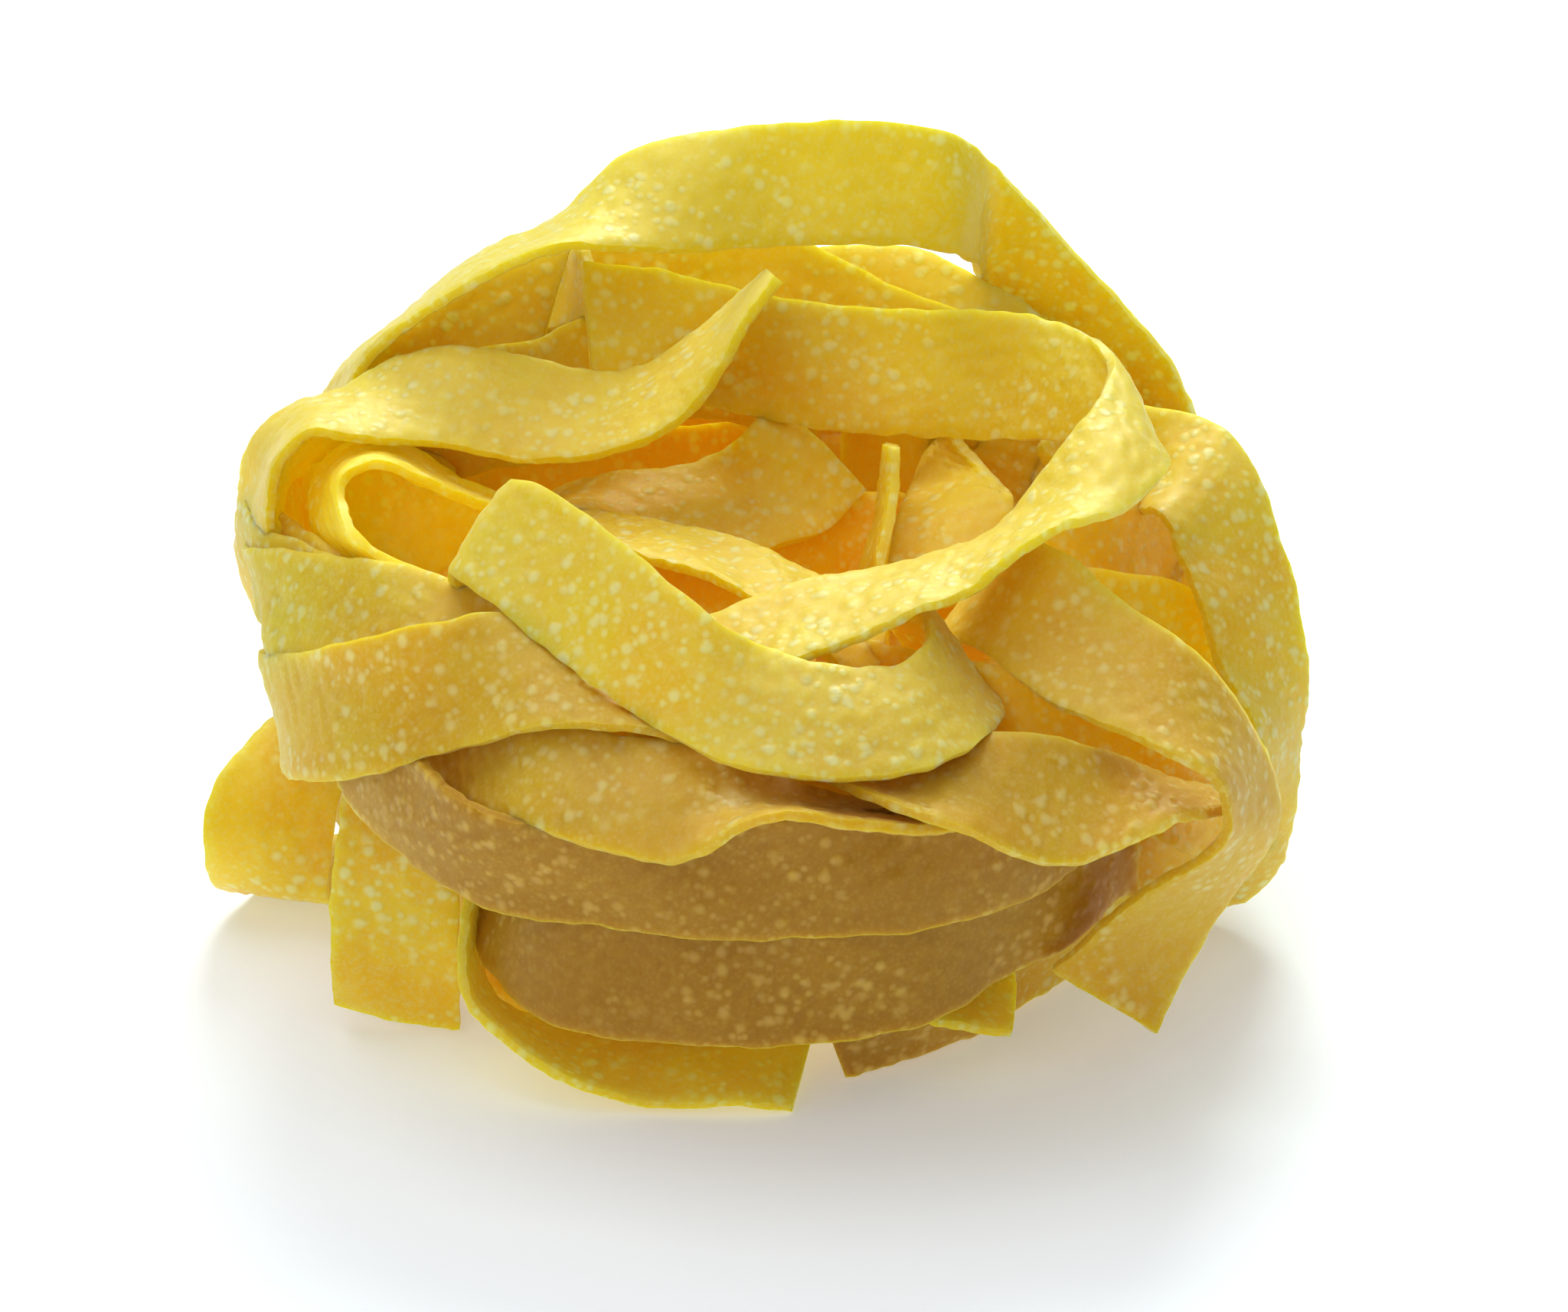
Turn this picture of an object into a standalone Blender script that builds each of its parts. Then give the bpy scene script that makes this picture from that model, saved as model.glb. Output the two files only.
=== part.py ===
# Dry pasta nest: wide egg-pasta ribbons wound into a nest and dried hard, as one solid.
# The ribbons that show are laid one by one, the rest are wound by a rule round a bowl-shaped core.
# Metres, +Z up. The origin is the middle of the nest's box, on the surface that it stands on.

import math
import random

import bmesh
import bpy
from mathutils import Vector

MM = 0.001

# Ribbon section, in millimetres
RIBBON_WIDTH = 8.0
RIBBON_THICKNESS = 0.8
SEGMENT_LENGTH = 4.8
LOWEST_EDGE = 0.7

# The plane in which the ribbons that show are laid out, in millimetres and degrees:
# it faces a point in front of the nest and above it, and stands on the middle of the nest
VIEW_TILT = math.radians(26.0)
VIEW_DISTANCE = 500.0
VIEW_CENTRE = Vector((0.0, 0.0, 17.5))

# The core, a bowl with a flat foot: radius and height at each turn of its profile, in millimetres
CORE_CENTRE = Vector((-1.0, -1.5, 0.0))
CORE_PROFILE = (
    (0.0, 0.0), (17.0, 0.0), (23.5, 4.0), (26.5, 11.0), (26.0, 19.0), (22.5, 26.5),
    (19.5, 27.5), (16.0, 21.5), (10.0, 18.0), (0.0, 17.0),
)
CORE_SIDES = 28

# Ribbons wound round the back and sides: the nest's half width and half depth, in millimetres
WOUND_RADIUS_X = 30.5
WOUND_RADIUS_Y = 30.0
WOUND_MIDDLE_HEIGHT = 17.0
WOUND_HALF_HEIGHT = 27.0
WOUND_STEP = 20.0
WOUND_WAVE = 0.8
WOUND_TUCK = 8.0
SEED = 7

PASTA_COLOR = (0.78, 0.50, 0.07, 1.0)
PASTA_ROUGHNESS = 0.5

# A rung crosses a ribbon: across and up of edge one, across and up of edge two, how near the
# rung's middle is, and which edge is nearer (1: edge two, -1: edge one, 0: neither)
TOP_ARCH = (
    (-28.0, 2.0, -27.6, 1.6, -8.0, 1), (-30.3, 10.0, -29.9, 9.6, -6.0, 1),
    (-28.3, 17.6, -27.7, 17.0, -2.5, 1), (-24.2, 21.9, -23.7, 21.2, 0.5, 1),
    (-19.1, 25.3, -18.8, 24.5, 2.5, 1), (-14.7, 27.8, -14.4, 26.0, 3.0, 1),
    (-10.3, 31.6, -10.2, 26.0, 3.0, 1), (-5.0, 33.2, -5.2, 25.9, 2.5, 1),
    (0.5, 34.0, 0.4, 26.1, 2.0, 0), (6.0, 34.1, 6.0, 26.2, 2.0, 0), (10.0, 33.4, 10.2, 25.8, 1.5, 0),
    (12.4, 32.1, 11.7, 25.4, -0.5, 0), (15.0, 29.5, 12.3, 24.2, -5.5, -1),
    (19.0, 25.1, 14.8, 20.4, -9.5, -1), (23.0, 20.6, 18.0, 16.6, -11.5, -1),
    (26.2, 15.8, 20.8, 12.4, -13.5, -1), (27.0, 8.5, 21.4, 7.0, -15.0, -1),
    (25.0, 1.5, 19.4, 1.0, -16.5, -1),
)
ARCH_LINING = (
    (-30.0, 12.5, -26.0, 6.5, -6.0, 0), (-26.2, 19.2, -22.5, 12.6, -5.0, 0),
    (-20.2, 23.9, -17.6, 16.7, -4.0, 0), (-13.5, 26.3, -15.9, 18.6, -3.5, 0),
)
BACK_BAND = (
    (-19.0, 22.0, -17.5, 14.5, -9.0, 0), (-14.0, 26.4, -13.0, 18.6, -7.5, 0),
    (-7.0, 27.8, -7.0, 19.8, -6.5, 0), (-1.0, 27.4, -2.0, 19.6, -5.5, 0),
    (2.5, 26.0, 0.8, 18.2, -4.5, 0), (7.0, 23.6, 5.5, 16.0, -3.5, 0),
    (12.0, 21.7, 10.5, 14.2, -3.5, 0), (17.0, 18.5, 15.0, 11.0, -7.0, 0),
)
BACK_RIM = (
    (-3.0, 24.5, -4.0, 17.5, -11.0, 1), (3.0, 26.0, 2.5, 18.5, -8.5, 1),
    (8.4, 25.8, 7.5, 18.5, -6.5, 1), (12.0, 24.1, 10.4, 17.0, -5.5, 1),
    (16.0, 21.9, 13.4, 15.0, -5.5, 1), (20.5, 17.5, 17.0, 11.0, -8.5, 1),
    (23.5, 10.5, 19.0, 6.0, -13.0, 1),
)
SHOULDER_BAND = (
    (-27.0, 16.0, -24.0, 9.0, -1.0, 0), (-21.5, 19.2, -19.7, 11.6, 1.0, 0),
    (-15.6, 20.3, -14.5, 12.6, 0.0, 0), (-10.5, 22.5, -9.0, 14.9, -3.5, 0),
    (-4.0, 22.5, -3.0, 14.8, -7.0, 0), (2.0, 20.0, 2.0, 12.5, -11.0, 0),
)
LEFT_LEAF = (
    (-0.9, 24.4, -0.3, 24.0, 6.5, 1), (-3.0, 22.9, -2.4, 21.1, 6.5, 1),
    (-5.2, 20.9, -3.9, 18.3, 6.5, 1), (-8.2, 18.8, -6.5, 15.2, 6.5, 1),
    (-12.0, 18.0, -11.0, 12.9, 6.5, 1), (-16.0, 18.7, -15.5, 12.4, 6.5, 1),
    (-20.0, 19.7, -19.8, 13.0, 6.5, 1), (-24.5, 18.9, -24.0, 13.7, 6.5, 1),
    (-28.2, 16.9, -27.7, 14.3, 7.0, 1), (-31.0, 15.7, -30.2, 14.3, 7.5, 1),
    (-33.4, 14.0, -31.9, 12.4, 7.5, 1), (-34.6, 11.5, -32.4, 10.4, 6.5, 1),
    (-34.8, 8.0, -32.6, 7.0, 4.5, 1), (-33.8, 4.0, -31.8, 3.2, 2.5, 1),
    (-31.5, -1.0, -29.6, -1.4, 1.0, 1),
)
LEFT_WALL = (
    (-27.5, 9.5, -27.0, 2.0, -6.0, 1), (-32.6, 8.5, -31.0, 1.0, 2.0, 1),
    (-34.1, 7.0, -32.6, 0.2, 8.5, 1), (-32.0, 6.8, -31.4, -0.6, 13.5, 1),
    (-28.0, 6.2, -28.0, -1.3, 17.3, 1), (-24.0, 5.6, -24.3, -2.0, 20.0, 1),
    (-20.0, 4.2, -21.0, -3.4, 21.5, 1), (-15.5, 1.5, -17.0, -5.5, 21.0, 1),
    (-11.5, -2.0, -13.5, -8.5, 18.0, 1),
)
LEFT_WALL_SECOND = (
    (-30.5, 11.5, -30.0, 4.0, -2.0, 1), (-34.0, 10.2, -33.2, 3.0, 4.5, 1),
    (-33.2, 8.3, -32.6, 1.0, 9.5, 1), (-30.8, 7.3, -30.7, -0.2, 13.5, 1),
    (-26.5, 5.4, -26.7, -1.9, 17.0, 1), (-22.0, 3.0, -22.5, -4.0, 18.0, 1),
)
LEFT_WALL_THIRD = (
    (-31.0, 12.6, -30.5, 5.5, -1.0, 1), (-33.5, 11.0, -32.8, 4.0, 3.0, 1),
    (-32.4, 9.4, -31.8, 2.2, 8.0, 1), (-29.2, 7.2, -29.0, -0.2, 12.0, 1),
    (-25.0, 4.0, -25.0, -3.4, 14.5, 1),
)
LEFT_LINING = (
    (-32.0, 12.5, -31.0, 5.0, 5.0, 0), (-29.0, 14.6, -28.0, 7.0, 0.0, 0),
    (-23.0, 14.6, -22.5, 6.8, -3.0, 0), (-16.0, 14.0, -15.5, 6.2, -5.0, 0),
    (-9.0, 14.5, -9.0, 6.8, -7.0, 0), (-2.0, 15.0, -2.5, 7.2, -9.0, 0),
)
INNER_CURL = (
    (-15.5, 8.8, -15.5, 8.0, 5.0, 1), (-19.0, 10.6, -19.3, 9.7, 6.5, 1),
    (-22.3, 12.0, -22.5, 11.0, 7.5, 1), (-25.6, 13.1, -25.5, 11.9, 8.0, 1),
    (-28.3, 13.1, -27.3, 11.6, 8.5, 1), (-30.0, 11.7, -28.3, 10.7, 9.5, 1),
    (-30.2, 9.5, -28.3, 9.2, 11.0, 1), (-29.2, 7.6, -27.5, 7.8, 12.5, 1),
    (-27.0, 6.0, -25.5, 6.6, 14.0, 1), (-23.5, 3.5, -22.5, 5.0, 15.0, 1),
    (-19.0, 0.0, -18.0, 2.0, 14.0, 1),
)
LEFT_LOWER = (
    (-29.5, 2.0, -29.0, -6.0, 2.0, 1), (-32.9, 0.4, -31.8, -7.4, 10.5, 1),
    (-30.6, 0.2, -30.0, -8.0, 17.8, 1), (-26.5, 1.2, -26.2, -7.6, 22.6, 1),
    (-22.0, 2.2, -22.2, -6.3, 25.5, 1), (-18.0, 2.6, -17.7, -5.0, 27.0, 1),
    (-13.0, 1.3, -13.0, -4.4, 27.3, 1), (-8.5, -0.5, -8.2, -4.9, 27.0, 1),
    (-4.0, -2.5, -3.5, -6.3, 25.5, 1),
)
FRONT_SASH = (
    (-13.0, 5.5, -16.5, 0.0, 15.0, 0), (-15.8, 9.0, -19.8, 2.6, 18.0, 0),
    (-17.3, 11.2, -21.3, 5.0, 21.5, 0), (-14.3, 10.2, -18.8, 3.5, 24.5, 0),
    (-9.3, 6.4, -14.0, -0.5, 27.8, 0), (-4.7, 2.6, -9.0, -4.1, 30.2, 0),
    (-1.0, 0.4, -3.9, -6.5, 31.2, 1), (3.0, -0.7, 2.2, -7.9, 31.7, 1), (6.8, -0.6, 7.6, -7.5, 31.0, 1),
    (8.6, 0.3, 10.6, -6.6, 29.5, 1), (9.2, 1.4, 12.6, -5.4, 27.3, 1), (9.1, 2.3, 13.7, -4.1, 24.6, 0),
    (8.9, 3.2, 13.5, -2.7, 21.6, 0), (8.0, 3.6, 11.8, -1.6, 18.5, -1), (5.5, 3.4, 9.0, -1.0, 15.5, -1),
)
INNER_BAND = (
    (-12.9, 25.1, -12.2, 17.2, 2.0, 0), (-8.0, 24.6, -7.5, 16.6, 1.0, 0),
    (-2.5, 23.3, -2.8, 15.4, 0.5, 0), (3.0, 22.4, 3.0, 14.4, 0.5, 0), (8.0, 22.1, 8.0, 14.0, 1.5, 0),
    (13.0, 22.0, 13.0, 13.8, 3.5, 0), (17.0, 21.3, 17.4, 13.8, 6.0, 1),
    (19.6, 20.3, 21.3, 13.3, 9.0, 1), (20.8, 18.8, 23.9, 12.8, 12.5, 1),
    (20.5, 17.2, 24.2, 11.6, 15.8, 1), (19.6, 15.6, 22.9, 10.3, 18.5, 1),
    (18.1, 13.6, 21.0, 9.1, 20.2, 1), (16.4, 11.4, 18.6, 8.2, 21.3, 1), (14.7, 9.2, 16.2, 7.3, 22.0, 1),
    (12.6, 7.2, 13.5, 5.9, 22.5, 1), (10.2, 6.45, 11.5, 4.1, 23.0, 1), (7.4, 5.9, 8.3, 2.8, 24.0, 1),
    (3.2, 5.1, 4.2, 1.0, 25.0, 1), (-1.0, 4.0, 1.2, -0.5, 25.3, 1), (-4.4, 2.6, -1.8, -2.5, 25.6, 1),
    (-8.0, 0.5, -5.0, -5.0, 25.0, 1), (-11.5, -1.0, -8.5, -7.0, 22.5, 1),
)
RIGHT_DIAGONAL = (
    (11.5, 2.5, 8.0, -1.5, 11.0, 0), (13.8, 5.8, 9.4, 0.8, 14.5, 0), (15.6, 7.0, 10.6, 1.0, 18.5, 0),
    (18.0, 6.4, 12.8, 0.1, 21.8, 0), (22.0, 3.1, 17.3, -3.1, 24.2, 1), (26.0, 0.0, 22.3, -5.2, 25.2, 1),
    (29.0, -3.3, 26.0, -6.9, 24.8, 1), (30.6, -6.2, 27.7, -8.2, 23.5, 1),
    (31.2, -9.0, 28.3, -10.0, 22.0, 1), (30.8, -11.2, 28.2, -11.6, 20.8, 1),
    (29.0, -14.0, 26.6, -13.2, 19.6, 1), (27.0, -17.3, 22.9, -15.0, 18.4, 1),
    (25.4, -20.3, 19.9, -17.2, 17.3, 1), (23.8, -24.1, 17.2, -19.9, 16.5, 1),
)
FRONT_LEAF_LEFT = (
    (-25.0, -1.0, -24.5, -6.0, 15.0, 1), (-20.5, -3.0, -20.2, -9.4, 22.3, 1),
    (-16.0, -3.6, -15.5, -11.1, 28.5, 1), (-10.0, -5.0, -9.6, -12.9, 31.0, 1),
    (-5.3, -5.8, -6.1, -12.8, 31.3, 1), (-2.0, -7.1, -2.5, -11.2, 31.3, 1),
    (1.0, -8.4, 0.8, -10.4, 31.0, 1), (4.6, -9.5, 4.6, -10.9, 30.5, 1), (8.0, -9.8, 8.5, -11.0, 29.5, 1),
    (12.0, -8.5, 12.5, -10.5, 27.0, 1), (15.5, -7.0, 16.0, -9.5, 22.5, 1),
)
FRONT_LEAF_RIGHT = (
    (1.0, -4.5, 1.5, -7.2, 26.5, 1), (6.0, -6.0, 6.3, -9.4, 30.0, 1), (10.0, -5.4, 10.5, -10.9, 30.8, 1),
    (14.5, -5.0, 15.0, -12.8, 30.0, 1), (18.5, -5.6, 18.7, -13.2, 28.3, 1),
    (22.0, -6.6, 22.4, -11.6, 25.8, 1), (25.0, -7.9, 25.3, -10.4, 23.0, 1),
    (27.2, -8.8, 27.3, -9.8, 19.5, 1), (28.8, -9.2, 28.9, -9.8, 16.0, 1),
)
FRONT_BELT_UPPER = (
    (-28.0, 1.0, -29.5, -3.5, 8.0, -1), (-27.2, -2.9, -28.6, -6.8, 15.5, -1),
    (-24.2, -6.1, -26.7, -10.2, 20.8, -1), (-20.3, -9.2, -22.7, -13.9, 24.6, -1),
    (-15.9, -10.8, -17.3, -16.3, 27.2, -1), (-10.5, -10.4, -11.2, -17.3, 28.8, -1),
    (-4.0, -10.4, -4.0, -18.0, 29.6, -1), (3.0, -10.2, 3.2, -17.8, 29.4, -1),
    (8.5, -9.7, 9.0, -17.4, 28.3, -1), (13.5, -8.6, 14.4, -15.8, 26.3, -1),
    (18.0, -8.4, 18.8, -13.0, 23.0, -1), (22.0, -8.8, 22.6, -11.0, 18.5, -1),
    (24.0, -8.6, 24.5, -10.0, 12.0, -1),
)
FRONT_BELT_LOWER = (
    (-18.5, -10.0, -20.0, -12.5, 11.0, -1), (-16.8, -13.5, -19.8, -16.2, 15.5, -1),
    (-14.9, -15.5, -18.8, -19.8, 19.0, -1), (-12.7, -16.5, -15.6, -23.0, 21.8, -1),
    (-8.8, -17.0, -10.0, -24.3, 23.4, -1), (-4.0, -17.2, -4.2, -24.7, 24.2, -1),
    (2.0, -17.1, 2.2, -24.7, 24.4, -1), (7.5, -16.4, 8.4, -23.5, 23.6, -1),
    (12.0, -15.0, 13.2, -20.9, 21.4, -1), (16.2, -13.0, 17.2, -18.6, 19.4, -1),
    (19.8, -10.6, 20.5, -15.8, 17.6, -1), (22.2, -9.0, 22.5, -15.0, 16.0, -1),
)
BOTTOM_RIBBON = (
    (-17.0, -8.0, -17.8, -8.6, 10.0, 1), (-18.7, -14.0, -19.7, -14.4, 11.5, 1),
    (-19.2, -18.4, -20.5, -18.6, 12.8, 1), (-18.6, -21.2, -20.1, -22.1, 13.8, 1),
    (-16.7, -22.9, -18.1, -24.2, 14.5, 1), (-13.3, -23.2, -14.6, -26.4, 15.2, 1),
    (-8.2, -22.9, -9.0, -28.4, 15.6, 1), (-3.0, -22.7, -3.2, -29.0, 15.8, 1),
    (2.1, -23.2, 0.5, -28.9, 15.5, 1),
)
BOTTOM_RIGHT = (
    (1.8, -21.6, 3.8, -26.9, 16.9, -1), (7.0, -20.3, 7.8, -25.9, 15.8, -1),
    (12.0, -18.5, 12.6, -23.7, 11.7, -1), (17.0, -16.0, 17.6, -20.9, 6.5, -1),
    (22.0, -13.0, 22.6, -17.0, 0.5, -1), (25.5, -9.5, 26.0, -13.5, -6.0, -1),
)
BOTTOM_STUB = (
    (14.6, -20.0, 14.5, -24.1, 12.5, 1), (9.7, -19.0, 9.6, -23.1, 14.0, 1),
    (5.0, -17.5, 5.0, -22.0, 14.0, 1), (0.0, -16.0, 0.0, -20.5, 12.0, 1),
)
LEFT_FOOT = (
    (-24.0, 0.0, -16.5, -2.0, 10.0, 0), (-27.0, -5.0, -19.3, -6.6, 14.5, 0),
    (-28.4, -10.5, -20.6, -12.0, 15.5, 0), (-28.9, -15.6, -20.8, -17.0, 13.8, 0),
    (-28.8, -19.5, -20.8, -21.0, 11.2, 0), (-28.7, -22.6, -20.7, -24.2, 8.6, 0),
)
LEFT_LOOP = (
    (-26.5, -2.0, -19.0, -0.5, -9.0, 0), (-31.0, -3.2, -23.8, -2.0, -4.5, 0),
    (-34.0, -5.4, -26.8, -5.4, -1.0, 0), (-36.4, -8.4, -28.3, -9.0, 0.8, 0),
    (-37.0, -11.6, -28.9, -12.2, 0.2, 0), (-36.2, -14.5, -29.0, -15.2, -2.5, 1),
    (-33.6, -15.8, -28.0, -16.4, -6.5, 1), (-30.5, -14.8, -25.0, -15.6, -11.0, 1),
    (-26.0, -13.5, -19.0, -14.5, -15.0, 0),
)
RIGHT_OUTER = (
    (16.0, 14.0, 13.0, 7.0, -5.0, 0), (20.5, 16.0, 17.5, 9.2, -1.0, 0),
    (24.4, 15.7, 21.0, 9.2, 3.0, 0), (27.8, 14.7, 23.0, 9.2, 6.0, 1), (30.0, 11.6, 24.3, 8.3, 7.5, 1),
    (31.7, 7.0, 25.6, 5.4, 8.0, 1), (32.9, 3.0, 26.9, 2.2, 8.3, 1), (33.2, -1.0, 28.3, -1.0, 8.0, 1),
    (32.8, -4.8, 29.9, -4.5, 7.0, 1), (32.4, -8.5, 29.8, -8.0, 5.5, 1), (32.2, -11.4, 29.2, -10.4, 3.0, 1),
    (31.2, -13.9, 27.6, -11.9, 0.5, 1), (28.6, -15.7, 25.0, -12.6, -1.5, 1),
    (23.5, -16.5, 21.0, -12.5, -4.0, 1),
)
RIGHT_INNER = (
    (17.2, 11.0, 15.9, 3.5, 11.0, 0), (20.5, 11.0, 19.2, 3.7, 9.0, 0), (24.5, 10.2, 23.0, 3.0, 4.5, 0),
    (28.5, 7.2, 26.5, 0.6, 0.0, 0), (29.5, 2.0, 26.5, -4.5, -4.0, 0),
)
RIGHT_DEEP = (
    (16.0, 6.0, 14.0, -1.0, 9.0, 0), (21.5, 5.4, 19.5, -1.8, 9.5, 0), (26.0, 4.2, 24.0, -3.0, 7.5, 0),
    (29.5, 0.0, 27.0, -6.5, 4.0, 0), (31.0, -5.5, 28.0, -11.0, -1.0, 0),
)
RIGHT_LOWER = (
    (13.0, -7.5, 13.5, -15.0, 14.0, -1), (18.0, -8.0, 19.0, -15.3, 13.5, -1),
    (23.5, -8.0, 24.5, -15.0, 12.0, -1), (28.0, -7.0, 29.3, -13.3, 7.5, -1),
    (30.2, -4.8, 30.9, -11.5, 0.5, -1), (28.5, -1.5, 28.5, -9.0, -8.0, -1),
)
FRONT_DEEP = (
    (5.0, 1.0, 5.0, -6.5, 18.0, 0), (10.0, 0.0, 10.0, -7.5, 20.5, 0), (15.0, -0.8, 14.8, -8.3, 22.0, 0),
    (20.0, -2.6, 19.5, -10.0, 21.0, 0), (25.5, -5.0, 24.5, -12.0, 17.0, 0),
    (29.0, -7.5, 28.0, -13.5, 11.0, 0),
)
INNER_LEAF = (
    (-20.0, 8.5, -19.0, 6.0, 0.0, 1), (-16.5, 9.6, -16.0, 7.6, 1.5, 1), (-13.3, 10.8, -12.7, 8.8, 2.5, 1),
    (-10.0, 11.7, -9.5, 7.0, 3.0, 1), (-6.5, 12.1, -4.7, 6.4, 2.5, 1), (-3.9, 13.0, -0.5, 6.9, 1.5, 1),
    (-2.2, 14.6, 2.8, 8.1, 0.5, 0), (-0.9, 16.3, 5.1, 10.5, -1.0, 0),
)
INNER_STRIP = (
    (-18.0, 8.5, -17.0, 6.0, 8.0, 1), (-14.0, 9.4, -13.0, 6.8, 9.5, 1), (-10.0, 8.9, -9.1, 6.1, 11.5, 1),
    (-6.0, 8.1, -5.2, 5.0, 13.5, 1), (-3.0, 7.3, -2.6, 3.9, 15.0, 1), (0.0, 6.1, -0.3, 2.6, 16.5, 1),
    (3.0, 4.4, 2.2, 0.6, 17.5, 1), (6.5, 2.0, 5.5, -2.0, 17.5, 1),
)
INNER_SLIVER = (
    (6.7, 13.6, 7.3, 13.3, 4.0, 1), (6.3, 11.6, 7.2, 11.3, 4.5, 1), (5.9, 9.4, 6.7, 9.2, 5.5, 1),
    (5.6, 7.0, 6.4, 7.0, 6.5, 1), (5.3, 4.0, 6.2, 4.0, 7.5, 1), (5.0, 0.5, 6.0, 0.5, 8.0, 1),
)
INNER_RIGHT_NEAR = (
    (6.0, 2.0, 13.6, 4.0, 8.5, 0), (6.9, 8.0, 14.6, 9.6, 5.5, 0), (8.3, 11.0, 13.6, 11.0, 2.0, 1),
    (9.3, 12.7, 12.0, 12.5, -1.5, 1), (10.0, 14.0, 11.0, 13.7, -4.5, 1), (10.3, 16.0, 11.0, 15.7, -8.0, 1),
)
INNER_RIGHT_FAR = (
    (4.0, 15.5, 3.5, 8.0, -9.0, 0), (8.0, 15.8, 8.0, 8.0, -6.5, 0), (12.5, 15.8, 12.8, 8.2, -4.5, 0),
    (17.5, 15.0, 18.2, 7.5, -3.5, 0), (22.0, 13.0, 23.0, 6.0, -5.5, 0),
)
SHOWN_RIBBONS = (
    TOP_ARCH, ARCH_LINING, BACK_BAND, BACK_RIM, SHOULDER_BAND, LEFT_LEAF, LEFT_WALL, LEFT_WALL_SECOND,
    LEFT_WALL_THIRD, LEFT_LINING, INNER_CURL, LEFT_LOWER, FRONT_SASH, INNER_BAND, RIGHT_DIAGONAL, FRONT_LEAF_LEFT,
    FRONT_LEAF_RIGHT, FRONT_BELT_UPPER, FRONT_BELT_LOWER, BOTTOM_RIBBON, BOTTOM_RIGHT, BOTTOM_STUB,
    LEFT_FOOT, LEFT_LOOP, RIGHT_OUTER, RIGHT_INNER, RIGHT_DEEP, RIGHT_LOWER, FRONT_DEEP, INNER_LEAF, INNER_STRIP,
    INNER_SLIVER, INNER_RIGHT_NEAR, INNER_RIGHT_FAR,
)

# A wound ribbon: start and end of its turn in degrees (0 is +X, 90 is the back), its heights
# there, and how far it stands off the nest's surface, so that crossing ribbons stay apart
WOUND_RIBBONS = (
    (0, 110, 6.0, 4.5, 0.0), (70, 170, 5.0, 6.5, 1.2), (-5, 125, 13.0, 11.0, 0.0),
    (80, 170, 11.0, 15.0, 1.3), (5, 120, 17.0, 20.5, 1.2), (55, 170, 20.5, 17.0, 0.1),
    (12, 130, 25.5, 22.0, 0.0), (75, 168, 24.0, 26.0, 1.1), (35, 150, 28.0, 28.5, -0.8),
    (25, 120, 24.5, 9.0, 2.3), (92, 160, 8.0, 22.5, 2.4),
)


def world_point(across, up, near):
    """A point of the layout plane, and how near it is to the viewer, as a place in the nest."""
    shrink = (VIEW_DISTANCE - near) / VIEW_DISTANCE
    back = up * shrink * math.sin(VIEW_TILT) - near * math.cos(VIEW_TILT)
    rise = up * shrink * math.cos(VIEW_TILT) + near * math.sin(VIEW_TILT)
    return VIEW_CENTRE + Vector((across * shrink, back, rise))


def rung_points(rung):
    """The two ends of a rung: what its seen length leaves of the ribbon's width is its depth.
    A rung that would reach the floor is lifted clear of it, so that the foot carries the nest."""
    across_one, up_one, across_two, up_two, near, nearer_edge = rung
    shrink = (VIEW_DISTANCE - near) / VIEW_DISTANCE
    seen_length = math.hypot(across_two - across_one, up_two - up_one) * shrink
    depth = nearer_edge * math.sqrt(max(RIBBON_WIDTH ** 2 - seen_length ** 2, 0.0))
    one = world_point(across_one, up_one, near - depth / 2)
    two = world_point(across_two, up_two, near + depth / 2)
    lift = Vector((0.0, 0.0, max(LOWEST_EDGE - min(one.z, two.z), 0.0)))
    return one + lift, two + lift


def wound_rungs(start, end, start_height, end_height, stand_off):
    """The rungs of a ribbon wound flat on the nest's surface, with its ends tucked into the core."""
    rungs = []
    steps = max(4, round((end - start) / WOUND_STEP))
    phase = random.uniform(0.0, 2.0 * math.pi)
    for step in range(-1, steps + 2):
        share = step / steps
        turn = math.radians(start + (end - start) * share)
        height = start_height + (end_height - start_height) * share
        height += WOUND_WAVE * math.sin(phase + 2.0 * math.pi * share)
        level = (height - WOUND_MIDDLE_HEIGHT) / WOUND_HALF_HEIGHT
        fullness = math.sqrt(1.0 - level ** 2)
        lean = math.atan(WOUND_RADIUS_X * level / (WOUND_HALF_HEIGHT * fullness))
        swell = stand_off - (WOUND_TUCK if step in (-1, steps + 1) else 0.0)
        outward = Vector((math.cos(turn), math.sin(turn), 0.0))
        middle = CORE_CENTRE + Vector((
            (WOUND_RADIUS_X * fullness + swell) * outward.x,
            (WOUND_RADIUS_Y * fullness + swell) * outward.y,
            height,
        ))
        half_width = (Vector((0.0, 0.0, math.cos(lean))) - outward * math.sin(lean)) * RIBBON_WIDTH / 2
        middle.z = max(middle.z, half_width.z + LOWEST_EDGE)
        rungs.append((middle + half_width, middle - half_width))
    return rungs


def curve_point(points, position):
    """A point on the smooth curve through the points, at a position counted in points."""
    last = len(points) - 1
    index = min(int(position), last - 1)
    share = position - index
    before = points[max(index - 1, 0)]
    start = points[index]
    end = points[index + 1]
    after = points[min(index + 2, last)]
    slope = (end - before) * share
    bend = (before * 2 - start * 5 + end * 4 - after) * share ** 2
    twist = (start * 3 - before - end * 3 + after) * share ** 3
    return start + (slope + bend + twist) / 2


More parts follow.
